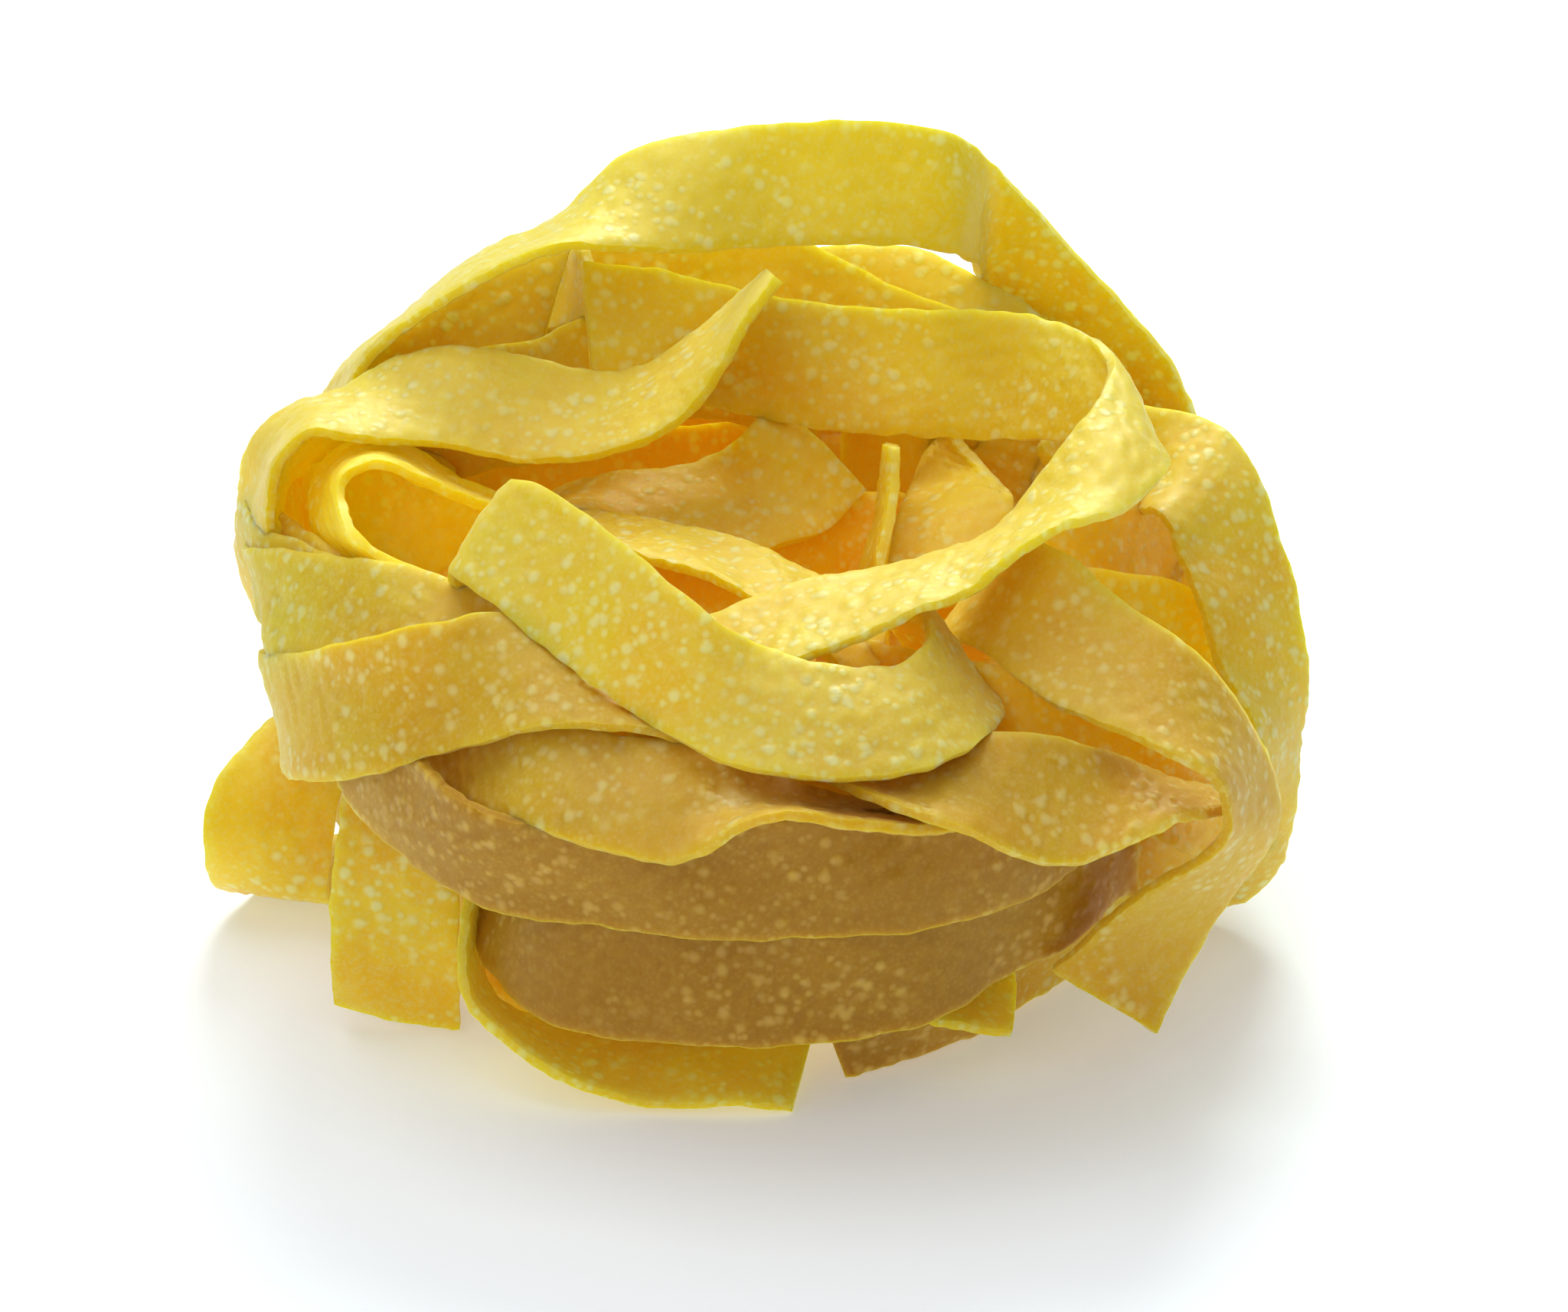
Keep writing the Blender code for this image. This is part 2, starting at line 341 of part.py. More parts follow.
def ribbon_edges(rungs):
    """Points along both edges of the ribbon through the rungs, at even steps of its length."""
    samples = 12
    fine = []
    for step in range((len(rungs) - 1) * samples + 1):
        position = step / samples
        one = curve_point([rung[0] for rung in rungs], position)
        two = curve_point([rung[1] for rung in rungs], position)
        fine.append((one, two))
    lengths = [0.0]
    for previous, current in zip(fine, fine[1:]):
        lengths.append(lengths[-1] + (current[0] + current[1] - previous[0] - previous[1]).length / 2)
    count = max(3, round(lengths[-1] / SEGMENT_LENGTH))
    edges = []
    for step in range(count + 1):
        target = lengths[-1] * step / count
        index = min(max(i for i, length in enumerate(lengths) if length <= target + 1e-9), len(fine) - 2)
        share = (target - lengths[index]) / max(lengths[index + 1] - lengths[index], 1e-9)
        one, two = (fine[index][side].lerp(fine[index + 1][side], share) for side in (0, 1))
        edges.append((one, two))
    return edges


def make_ribbon(name, rungs, collection):
    """A ribbon as an open strip of quads, given its thickness by a Solidify modifier."""
    mesh = bpy.data.meshes.new(name)
    strip = bmesh.new()
    rows = []
    for one, two in ribbon_edges(rungs):
        rows.append((strip.verts.new(one * MM), strip.verts.new(two * MM)))
    for row, next_row in zip(rows, rows[1:]):
        strip.faces.new((row[0], row[1], next_row[1], next_row[0]))
    strip.to_mesh(mesh)
    strip.free()
    ribbon = bpy.data.objects.new(name, mesh)
    collection.objects.link(ribbon)
    solidify = ribbon.modifiers.new("thickness", "SOLIDIFY")
    solidify.thickness = RIBBON_THICKNESS * MM
    solidify.offset = 0.0
    return ribbon


def make_core(name, collection):
    """The core: the bowl's profile turned by a Screw modifier."""
    profile = bmesh.new()
    corners = [profile.verts.new((radius * MM, 0.0, height * MM)) for radius, height in reversed(CORE_PROFILE)]
    for corner, next_corner in zip(corners, corners[1:]):
        profile.edges.new((corner, next_corner))
    mesh = bpy.data.meshes.new(name)
    profile.to_mesh(mesh)
    profile.free()
    core = bpy.data.objects.new(name, mesh)
    collection.objects.link(core)
    core.location = CORE_CENTRE * MM
    screw = core.modifiers.new("turn", "SCREW")
    screw.steps = CORE_SIDES
    screw.render_steps = CORE_SIDES
    screw.use_merge_vertices = True
    screw.merge_threshold = 0.00001
    return core


def applied(source, name, collection):
    """The object as its modifiers leave it, as a new mesh of triangles in world places."""
    bpy.context.view_layer.update()
    evaluated = source.evaluated_get(bpy.context.evaluated_depsgraph_get())
    mesh = bpy.data.meshes.new_from_object(evaluated)
    mesh.transform(source.matrix_world)
    mesh.name = name
    result = bpy.data.objects.new(name, mesh)
    collection.objects.link(result)
    bpy.data.objects.remove(source)
    return result


def triangulate(target):
    """Split every face into triangles."""
    shape = bmesh.new()
    shape.from_mesh(target.data)
    bmesh.ops.triangulate(shape, faces=shape.faces)
    shape.to_mesh(target.data)
    shape.free()


def shells_of(shape):
    """The mesh's connected shells, as lists of faces."""
    shells = []
    seen = set()
    for face in shape.faces:
        if face in seen:
            continue
        shell = []
        waiting = [face]
        seen.add(face)
        while waiting:
            current = waiting.pop()
            shell.append(current)
            for edge in current.edges:
                for neighbour in edge.link_faces:
                    if neighbour not in seen:
                        seen.add(neighbour)
                        waiting.append(neighbour)
        shells.append(shell)
    return shells


def shell_volume(shell):
    """The volume inside a shell of triangles, negative where its faces point inward."""
    volume = 0.0
    for face in shell:
        one, two, three = (vert.co for vert in face.verts)
        volume += one.dot(two.cross(three)) / 6.0
    return volume


def keep_main_shell(target):
    """Fill the hollows that fusing sealed and drop loose scraps: the largest shell stays."""
    shape = bmesh.new()
    shape.from_mesh(target.data)
    bmesh.ops.triangulate(shape, faces=shape.faces)
    shells = sorted(shells_of(shape), key=shell_volume)
    loose = [face for shell in shells[:-1] for face in shell]
    bmesh.ops.delete(shape, geom=loose, context="FACES")
    shape.to_mesh(target.data)
    shape.free()


def pasta_material():
    """Dried egg pasta: golden yellow, half matt."""
    material = bpy.data.materials.new("egg_pasta")
    material.use_nodes = True
    surface = material.node_tree.nodes["Principled BSDF"]
    surface.inputs["Base Color"].default_value = PASTA_COLOR
    surface.inputs["Roughness"].default_value = PASTA_ROUGHNESS
    surface.inputs["Metallic"].default_value = 0.0
    return material


def centre_on_floor(target):
    """Move the mesh so that its box is centred on the origin and stands on it."""
    corners = [Vector(corner) for corner in target.bound_box]
    low = Vector(min(corner[axis] for corner in corners) for axis in range(3))
    high = Vector(max(corner[axis] for corner in corners) for axis in range(3))
    shift = Vector(((low.x + high.x) / 2, (low.y + high.y) / 2, low.z))
    for vertex in target.data.vertices:
        vertex.co -= shift
    target.data.update()
    return shift


def build():
    """Lay the ribbons, wind the rest, and fuse them with the core into one solid."""
    for leftover in list(bpy.data.objects):
        bpy.data.objects.remove(leftover)
    random.seed(SEED)
    nest_collection = bpy.data.collections.new("dry_pasta_nest")
    ribbon_collection = bpy.data.collections.new("ribbons")
    bpy.context.scene.collection.children.link(nest_collection)
    bpy.context.scene.collection.children.link(ribbon_collection)
    all_rungs = [[rung_points(rung) for rung in ribbon] for ribbon in SHOWN_RIBBONS]
    all_rungs += [wound_rungs(*ribbon) for ribbon in WOUND_RIBBONS]
    for number, rungs in enumerate(all_rungs, 1):
        strip = make_ribbon(f"strip_{number:02d}", rungs, ribbon_collection)
        triangulate(applied(strip, f"ribbon_{number:02d}", ribbon_collection))
    nest = applied(make_core("core", nest_collection), "core_solid", nest_collection)
    triangulate(nest)
    union = nest.modifiers.new("fuse", "BOOLEAN")
    union.operation = "UNION"
    union.operand_type = "COLLECTION"
    union.collection = ribbon_collection
    union.solver = "MANIFOLD"
    nest = applied(nest, "pasta_nest", nest_collection)
    for ribbon in list(ribbon_collection.objects):
        bpy.data.objects.remove(ribbon)
    bpy.data.collections.remove(ribbon_collection)
    keep_main_shell(nest)
    centre_on_floor(nest)
    nest.data.materials.clear()
    nest.data.materials.append(pasta_material())
    return nest


if __name__ == "__main__":
    build()
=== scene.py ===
# Dry pasta nest: the wide egg ribbons at full detail, laid and wound as in the part's source,
# with a camera, a pale floor and soft studio light. Lengths are in millimetres unless they say
# otherwise, and +Z is up. The ribbons are laid out round a middle of their own and then moved, so
# that the origin is the middle of the nest's box, on the floor.

import math

import bpy
import numpy as np
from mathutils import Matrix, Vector


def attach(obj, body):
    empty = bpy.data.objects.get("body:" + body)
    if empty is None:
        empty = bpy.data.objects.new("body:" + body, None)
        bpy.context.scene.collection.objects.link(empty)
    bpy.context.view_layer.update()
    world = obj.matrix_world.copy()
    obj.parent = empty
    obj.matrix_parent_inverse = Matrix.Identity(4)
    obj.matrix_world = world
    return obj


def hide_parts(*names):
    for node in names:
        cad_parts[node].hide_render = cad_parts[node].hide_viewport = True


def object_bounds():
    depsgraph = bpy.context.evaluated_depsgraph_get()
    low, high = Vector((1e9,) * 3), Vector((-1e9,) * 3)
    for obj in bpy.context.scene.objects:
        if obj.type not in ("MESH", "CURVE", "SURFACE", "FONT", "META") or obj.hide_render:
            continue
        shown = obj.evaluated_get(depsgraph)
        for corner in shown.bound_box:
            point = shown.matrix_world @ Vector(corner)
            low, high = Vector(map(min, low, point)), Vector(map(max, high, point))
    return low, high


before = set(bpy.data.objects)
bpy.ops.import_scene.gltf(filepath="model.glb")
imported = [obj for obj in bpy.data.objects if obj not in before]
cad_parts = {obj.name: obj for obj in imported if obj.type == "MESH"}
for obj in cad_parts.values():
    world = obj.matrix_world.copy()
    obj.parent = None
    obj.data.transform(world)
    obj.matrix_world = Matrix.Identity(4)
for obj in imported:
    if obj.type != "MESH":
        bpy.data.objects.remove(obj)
cad_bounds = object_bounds()

MM = 0.001

# Ribbon section: within EDGE_ROUNDING of a cut edge it thins to EDGE_SHARE of its thickness
RIBBON_WIDTH = 8.0
RIBBON_THICKNESS = 0.8
EDGE_ROUNDING = 0.35
EDGE_SHARE = 0.7
LOWEST_EDGE = 0.5

# How fine the meshes are, for the ribbons that show and, coarser, for those wound behind them
MESH_PITCH = 0.36
COARSE_PITCH = 0.8
FEWEST_ROWS = 8
FEWEST_COLUMNS = 6
RUNG_SAMPLES = 16
PROFILE_SAMPLES = 6

# The plane in which the ribbons that show are laid out: it faces a point in front of the nest
# and above it, and stands on the middle of the nest
VIEW_TILT = math.radians(26.0)
VIEW_DISTANCE = 500.0
VIEW_CENTRE = Vector((0.0, 0.0, 17.5))
LENS = 180.0
SENSOR_WIDTH = 36.0

# The middle of the finished nest's box, as the ribbons are laid out
BOX_MIDDLE = Vector((-1.940, -2.128, 0.0))

# The core under the ribbons, a bowl like the solid's, but a little smaller
CORE_CENTRE = Vector((-1.0, -1.5, 0.0))
CORE_PROFILE = (
    (0.0, 0.6), (16.0, 0.6), (21.5, 4.0), (24.5, 11.0), (24.0, 19.0), (21.5, 24.0),
    (19.0, 24.5), (15.0, 18.0), (10.0, 13.5), (0.0, 12.0),
)
CORE_SIDES = 96

# Ribbons wound round the back and sides: the round surface that they follow, the degrees from
# rung to rung, the height of their wave, and how deep their ends are tucked in
WOUND_RADIUS_X = 30.5
WOUND_RADIUS_Y = 30.0
WOUND_MIDDLE_HEIGHT = 17.0
WOUND_HALF_HEIGHT = 27.0
WOUND_STEP = 20.0
WOUND_WAVE = 0.8
WOUND_TUCK = 8.0
FEWEST_STEPS = 4
SEED = 7

# Relief of the dried dough: height and length of its waves, of its fine peel and of its uneven
# cut edges; each sums random waves, whose lengths vary between two shares of the given one
WAVE_HEIGHT = 0.16
WAVE_LENGTH = 9.0
PEEL_HEIGHT = 0.035
PEEL_LENGTH = 1.3
EDGE_HEIGHT = 0.05
EDGE_LENGTH = 2.6
NOISE_WAVES = 10
PEEL_WAVES = 16
SHORTEST_SHARE = 0.7
LONGEST_SHARE = 1.6

# A rung crosses a ribbon: across and up of edge one, across and up of edge two, how near the
# rung's middle is, and which edge is nearer (1: edge two, -1: edge one, 0: neither)
TOP_ARCH = (
    (-28.0, 2.0, -27.6, 1.6, -8.0, 1), (-30.3, 10.0, -29.9, 9.6, -6.0, 1),
    (-28.3, 17.6, -27.7, 17.0, -2.5, 1), (-24.2, 21.9, -23.7, 21.2, 0.5, 1),
    (-19.1, 25.3, -18.8, 24.5, 2.5, 1), (-14.7, 27.8, -14.4, 26.0, 3.0, 1),
    (-10.3, 31.6, -10.2, 26.0, 3.0, 1), (-5.0, 33.2, -5.2, 25.9, 2.5, 1),
    (0.5, 34.0, 0.4, 26.1, 2.0, 0), (6.0, 34.1, 6.0, 26.2, 2.0, 0), (10.0, 33.4, 10.2, 25.8, 1.5, 0),
    (12.4, 32.1, 11.7, 25.4, -0.5, 0), (15.0, 29.5, 12.3, 24.2, -5.5, -1),
    (19.0, 25.1, 14.8, 20.4, -9.5, -1), (23.0, 20.6, 18.0, 16.6, -11.5, -1),
    (26.2, 15.8, 20.8, 12.4, -13.5, -1), (27.0, 8.5, 21.4, 7.0, -15.0, -1),
    (25.0, 1.5, 19.4, 1.0, -16.5, -1),
)
ARCH_LINING = (
    (-30.0, 12.5, -26.0, 6.5, -6.0, 0), (-26.2, 19.2, -22.5, 12.6, -5.0, 0),
    (-20.2, 23.9, -17.6, 16.7, -4.0, 0), (-13.5, 26.3, -15.9, 18.6, -3.5, 0),
)
BACK_BAND = (
    (-19.0, 22.0, -17.5, 14.5, -9.0, 0), (-14.0, 26.4, -13.0, 18.6, -7.5, 0),
    (-7.0, 27.8, -7.0, 19.8, -6.5, 0), (-1.0, 27.4, -2.0, 19.6, -5.5, 0),
    (2.5, 26.0, 0.8, 18.2, -4.5, 0), (7.0, 23.6, 5.5, 16.0, -3.5, 0),
    (12.0, 21.7, 10.5, 14.2, -3.5, 0), (17.0, 18.5, 15.0, 11.0, -7.0, 0),
)
BACK_RIM = (
    (-3.0, 24.5, -4.0, 17.5, -11.0, 1), (3.0, 26.0, 2.5, 18.5, -8.5, 1),
    (8.4, 25.8, 7.5, 18.5, -6.5, 1), (12.0, 24.1, 10.4, 17.0, -5.5, 1),
    (16.0, 21.9, 13.4, 15.0, -5.5, 1), (20.5, 17.5, 17.0, 11.0, -8.5, 1),
    (23.5, 10.5, 19.0, 6.0, -13.0, 1),
)
SHOULDER_BAND = (
    (-27.0, 16.0, -24.0, 9.0, -1.0, 0), (-21.5, 19.2, -19.7, 11.6, 1.0, 0),
    (-15.6, 20.3, -14.5, 12.6, 0.0, 0), (-10.5, 22.5, -9.0, 14.9, -3.5, 0),
    (-4.0, 22.5, -3.0, 14.8, -7.0, 0), (2.0, 20.0, 2.0, 12.5, -11.0, 0),
)
LEFT_LEAF = (
    (-0.9, 24.4, -0.3, 24.0, 6.5, 1), (-3.0, 22.9, -2.4, 21.1, 6.5, 1),
    (-5.2, 20.9, -3.9, 18.3, 6.5, 1), (-8.2, 18.8, -6.5, 15.2, 6.5, 1),
    (-12.0, 18.0, -11.0, 12.9, 6.5, 1), (-16.0, 18.7, -15.5, 12.4, 6.5, 1),
    (-20.0, 19.7, -19.8, 13.0, 6.5, 1), (-24.5, 18.9, -24.0, 13.7, 6.5, 1),
    (-28.2, 16.9, -27.7, 14.3, 7.0, 1), (-31.0, 15.7, -30.2, 14.3, 7.5, 1),
    (-33.4, 14.0, -31.9, 12.4, 7.5, 1), (-34.6, 11.5, -32.4, 10.4, 6.5, 1),
    (-34.8, 8.0, -32.6, 7.0, 4.5, 1), (-33.8, 4.0, -31.8, 3.2, 2.5, 1),
    (-31.5, -1.0, -29.6, -1.4, 1.0, 1),
)
LEFT_WALL = (
    (-27.5, 9.5, -27.0, 2.0, -6.0, 1), (-32.6, 8.5, -31.0, 1.0, 2.0, 1),
    (-34.1, 7.0, -32.6, 0.2, 8.5, 1), (-32.0, 6.8, -31.4, -0.6, 12.7, 1),
    (-28.0, 6.2, -28.0, -1.3, 17.3, 1), (-24.0, 5.6, -24.3, -2.0, 20.0, 1),
    (-20.0, 4.2, -21.0, -3.4, 21.5, 1), (-15.5, 1.5, -17.0, -5.5, 21.0, 1),
    (-11.5, -2.0, -13.5, -8.5, 18.0, 1),
)
LEFT_WALL_SECOND = (
    (-30.5, 11.5, -30.0, 4.0, -2.0, 1), (-34.0, 10.2, -33.2, 3.0, 4.5, 1),
    (-33.2, 8.3, -32.6, 1.0, 9.5, 1), (-30.8, 7.3, -30.7, -0.2, 12.0, 1),
    (-26.5, 5.4, -26.7, -1.9, 17.0, 1), (-22.0, 3.0, -22.5, -4.0, 18.0, 1),
)
LEFT_WALL_THIRD = (
    (-31.0, 12.6, -30.5, 5.5, -1.0, 1), (-33.5, 11.0, -32.8, 4.0, 3.0, 1),
    (-32.4, 9.4, -31.8, 2.2, 8.0, 1), (-29.2, 7.2, -29.0, -0.2, 12.0, 1),
    (-25.0, 4.0, -25.0, -3.4, 14.5, 1),
)
LEFT_LINING = (
    (-32.0, 12.5, -31.0, 5.0, 5.0, 0), (-29.0, 14.6, -28.0, 7.0, 0.0, 0),
    (-23.0, 14.6, -22.5, 6.8, -3.0, 0), (-16.0, 14.0, -15.5, 6.2, -5.0, 0),
    (-9.0, 14.5, -9.0, 6.8, -7.0, 0), (-2.0, 15.0, -2.5, 7.2, -9.0, 0),
)
INNER_CURL = (
    (-15.5, 8.8, -15.5, 8.0, 5.0, 1), (-19.0, 10.6, -19.3, 9.7, 6.5, 1),
    (-22.3, 12.0, -22.5, 11.0, 7.5, 1), (-25.6, 13.1, -25.5, 11.9, 8.0, 1),
    (-28.3, 13.1, -27.3, 11.6, 8.5, 1), (-30.0, 11.7, -28.3, 10.7, 9.5, 1),
    (-30.2, 9.5, -28.3, 9.2, 11.0, 1), (-29.2, 7.6, -27.5, 7.8, 12.5, 1),
    (-27.0, 6.0, -25.5, 6.6, 13.2, 1), (-23.5, 3.5, -22.5, 5.0, 13.6, 1),
    (-19.0, 0.0, -18.0, 2.0, 13.0, 1),
)
LEFT_LOWER = (
    (-29.5, 2.0, -29.0, -6.0, 2.0, 1), (-32.9, 0.4, -31.8, -7.4, 10.5, 1),
    (-30.6, 0.2, -30.0, -8.0, 17.8, 1), (-26.5, 1.2, -26.2, -7.6, 22.6, 1),
    (-22.0, 2.2, -22.2, -6.3, 25.5, 1), (-18.0, 2.6, -17.7, -5.0, 27.0, 1),
    (-13.0, 1.3, -13.0, -4.4, 27.3, 1), (-8.5, -0.5, -8.2, -4.9, 27.0, 1),
    (-4.0, -2.5, -3.5, -6.3, 25.5, 1),
)
FRONT_SASH = (
    (-13.0, 5.5, -16.5, 0.0, 15.0, 0), (-15.8, 9.0, -19.8, 2.6, 18.0, 0),
    (-17.3, 11.2, -21.3, 5.0, 21.5, 0), (-14.3, 10.2, -18.8, 3.5, 24.5, 0),
    (-9.3, 6.4, -14.0, -0.5, 27.8, 0), (-4.7, 2.6, -9.0, -4.1, 30.2, 0),
    (-1.0, 0.4, -3.9, -6.5, 31.2, 1), (3.0, -0.7, 2.2, -7.9, 31.7, 1), (6.8, -0.6, 7.6, -7.5, 31.0, 1),
    (8.6, 0.3, 10.6, -6.6, 29.5, 1), (9.2, 1.4, 12.6, -5.4, 27.3, 1), (9.1, 2.3, 13.7, -4.1, 24.6, 0),
    (8.9, 3.2, 13.5, -2.7, 21.6, 0), (8.0, 3.6, 11.8, -1.6, 18.5, -1), (5.5, 3.4, 9.0, -1.0, 15.5, -1),
)
INNER_BAND = (
    (-12.9, 25.1, -12.2, 17.2, 2.0, 0), (-8.0, 24.6, -7.5, 16.6, 1.0, 0),
    (-2.5, 23.3, -2.8, 15.4, 0.5, 0), (3.0, 22.4, 3.0, 14.4, 0.5, 0), (8.0, 22.1, 8.0, 14.0, 1.5, 0),
    (13.0, 22.0, 13.0, 13.8, 3.5, 0), (17.0, 21.3, 17.4, 13.8, 6.0, 1),
    (19.6, 20.3, 21.3, 13.3, 9.0, 1), (20.8, 18.8, 23.9, 12.8, 12.5, 1),
    (20.5, 17.2, 24.2, 11.6, 15.8, 1), (19.6, 15.6, 22.9, 10.3, 18.5, 1),
    (18.1, 13.6, 21.0, 9.1, 20.2, 1), (16.4, 11.4, 18.6, 8.2, 21.3, 1), (14.7, 9.2, 16.2, 7.3, 22.0, 1),
    (12.6, 7.2, 13.5, 5.9, 22.5, 1), (10.2, 6.45, 11.5, 4.1, 23.0, 1), (7.4, 5.9, 8.3, 2.8, 24.0, 1),
    (3.2, 5.1, 4.2, 1.0, 25.0, 1), (-1.0, 4.0, 1.2, -0.5, 25.3, 1), (-4.4, 2.6, -1.8, -2.5, 25.6, 1),
    (-8.0, 0.5, -5.0, -5.0, 25.0, 1), (-11.5, -1.0, -8.5, -7.0, 22.5, 1),
)
RIGHT_DIAGONAL = (
    (11.5, 2.5, 8.0, -1.5, 11.0, 0), (13.8, 5.8, 9.4, 0.8, 14.5, 0), (15.6, 7.0, 10.6, 1.0, 18.5, 0),
    (18.0, 6.4, 12.8, 0.1, 21.8, 0), (22.0, 3.1, 17.3, -3.1, 24.2, 1), (26.0, 0.0, 22.3, -5.2, 25.2, 1),
    (29.0, -3.3, 26.0, -6.9, 24.8, 1), (30.6, -6.2, 27.7, -8.2, 23.5, 1),
    (31.2, -9.0, 28.3, -10.0, 22.0, 1), (30.8, -11.2, 28.2, -11.6, 20.8, 1),
    (29.0, -14.0, 26.6, -13.2, 19.6, 1), (27.0, -17.3, 22.9, -15.0, 18.4, 1),
    (25.4, -20.3, 19.9, -17.2, 17.3, 1), (23.8, -24.1, 17.2, -19.9, 16.5, 1),
)
FRONT_LEAF_LEFT = (
    (-25.0, -1.0, -24.5, -6.0, 15.0, 1), (-20.5, -3.0, -20.2, -9.4, 22.3, 1),
    (-16.0, -3.6, -15.5, -11.1, 28.5, 1), (-10.0, -5.0, -9.6, -12.9, 31.0, 1),
    (-5.3, -5.8, -6.1, -12.8, 31.3, 1), (-2.0, -7.1, -2.5, -11.2, 31.3, 1),
    (1.0, -8.4, 0.8, -10.4, 31.0, 1), (4.6, -9.5, 4.6, -10.9, 30.5, 1), (8.0, -9.8, 8.5, -11.0, 29.5, 1),
    (12.0, -8.5, 12.5, -10.5, 27.0, 1), (15.5, -7.0, 16.0, -9.5, 22.5, 1),
)
FRONT_LEAF_RIGHT = (
    (1.0, -4.5, 1.5, -7.2, 26.5, 1), (6.0, -6.0, 6.3, -9.4, 30.0, 1), (10.0, -5.4, 10.5, -10.9, 30.8, 1),
    (14.5, -5.0, 15.0, -12.8, 30.0, 1), (18.5, -5.6, 18.7, -13.2, 28.3, 1),
    (22.0, -6.6, 22.4, -11.6, 25.8, 1), (25.0, -7.9, 25.3, -10.4, 23.0, 1),
    (27.2, -8.8, 27.3, -9.8, 19.5, 1), (28.8, -9.2, 28.9, -9.8, 16.0, 1),
)
FRONT_BELT_UPPER = (
    (-28.0, 1.0, -29.5, -3.5, 8.0, -1), (-27.2, -2.9, -28.6, -6.8, 15.5, -1),
    (-24.2, -6.1, -26.7, -10.2, 20.8, -1), (-20.3, -9.2, -22.7, -13.9, 24.6, -1),
    (-15.9, -10.8, -17.3, -16.3, 27.2, -1), (-10.5, -10.4, -11.2, -17.3, 28.8, -1),
    (-4.0, -10.4, -4.0, -18.0, 29.6, -1), (3.0, -10.2, 3.2, -17.8, 29.4, -1),
    (8.5, -9.7, 9.0, -17.4, 28.3, -1), (13.5, -8.6, 14.4, -15.8, 26.3, -1),
    (18.0, -8.4, 18.8, -13.0, 23.0, -1), (22.0, -8.8, 22.6, -11.0, 18.5, -1),
    (24.0, -8.6, 24.5, -10.0, 12.0, -1),
)
FRONT_BELT_LOWER = (
    (-18.5, -10.0, -20.0, -12.5, 11.0, -1), (-16.8, -13.5, -19.8, -16.2, 15.5, -1),
    (-14.9, -15.5, -18.8, -19.8, 19.0, -1), (-12.7, -16.5, -15.6, -23.0, 21.8, -1),
    (-8.8, -17.0, -10.0, -24.3, 23.4, -1), (-4.0, -17.2, -4.2, -24.7, 24.2, -1),
    (2.0, -17.1, 2.2, -24.7, 24.4, -1), (7.5, -16.4, 8.4, -23.5, 23.6, -1),
    (12.0, -15.0, 13.2, -20.9, 21.4, -1), (16.2, -13.0, 17.2, -18.6, 19.4, -1),
    (19.8, -10.6, 20.5, -15.8, 17.6, -1), (22.2, -9.0, 22.5, -15.0, 16.0, -1),
)
BOTTOM_RIBBON = (
    (-17.0, -8.0, -17.8, -8.6, 10.0, 1), (-18.7, -14.0, -19.7, -14.4, 11.5, 1),
    (-19.2, -18.4, -20.5, -18.6, 12.8, 1), (-18.6, -21.2, -20.1, -22.1, 13.8, 1),
    (-16.7, -22.9, -18.1, -24.2, 14.5, 1), (-13.3, -23.2, -14.6, -26.4, 15.2, 1),
    (-8.2, -22.9, -9.0, -28.4, 15.6, 1), (-3.0, -22.7, -3.2, -29.0, 15.8, 1),
    (2.1, -23.2, 0.5, -28.9, 15.5, 1),
)
BOTTOM_RIGHT = (
    (1.8, -21.6, 3.8, -26.9, 16.9, -1), (7.0, -20.3, 7.8, -25.9, 15.8, -1),
    (12.0, -18.5, 12.6, -23.7, 11.7, -1), (17.0, -16.0, 17.6, -20.9, 6.5, -1),
    (22.0, -13.0, 22.6, -17.0, 0.5, -1), (25.5, -9.5, 26.0, -13.5, -6.0, -1),
)
BOTTOM_STUB = (
    (14.6, -20.0, 14.5, -24.1, 12.5, 1), (9.7, -19.0, 9.6, -23.1, 14.0, 1),
    (5.0, -17.5, 5.0, -22.0, 14.0, 1), (0.0, -16.0, 0.0, -20.5, 12.0, 1),
)
LEFT_FOOT = (
    (-24.0, 0.0, -16.5, -2.0, 10.0, 0), (-27.0, -5.0, -19.3, -6.6, 14.5, 0),
    (-28.4, -10.5, -20.6, -12.0, 15.5, 0), (-28.9, -15.6, -20.8, -17.0, 13.8, 0),
    (-28.8, -19.5, -20.8, -21.0, 11.2, 0), (-28.7, -22.6, -20.7, -24.2, 8.6, 0),
)
LEFT_LOOP = (
    (-26.5, -2.0, -19.0, -0.5, -9.0, 0), (-31.0, -3.2, -23.8, -2.0, -4.5, 0),
    (-34.0, -5.4, -26.8, -5.4, -1.0, 0), (-36.4, -8.4, -28.3, -9.0, 0.8, 0),
    (-37.0, -11.6, -28.9, -12.2, 0.2, 0), (-36.2, -14.5, -29.0, -15.2, -2.5, 1),
    (-33.6, -15.8, -28.0, -16.4, -6.5, 1), (-30.5, -14.8, -25.0, -15.6, -11.0, 1),
    (-26.0, -13.5, -19.0, -14.5, -15.0, 0),
)
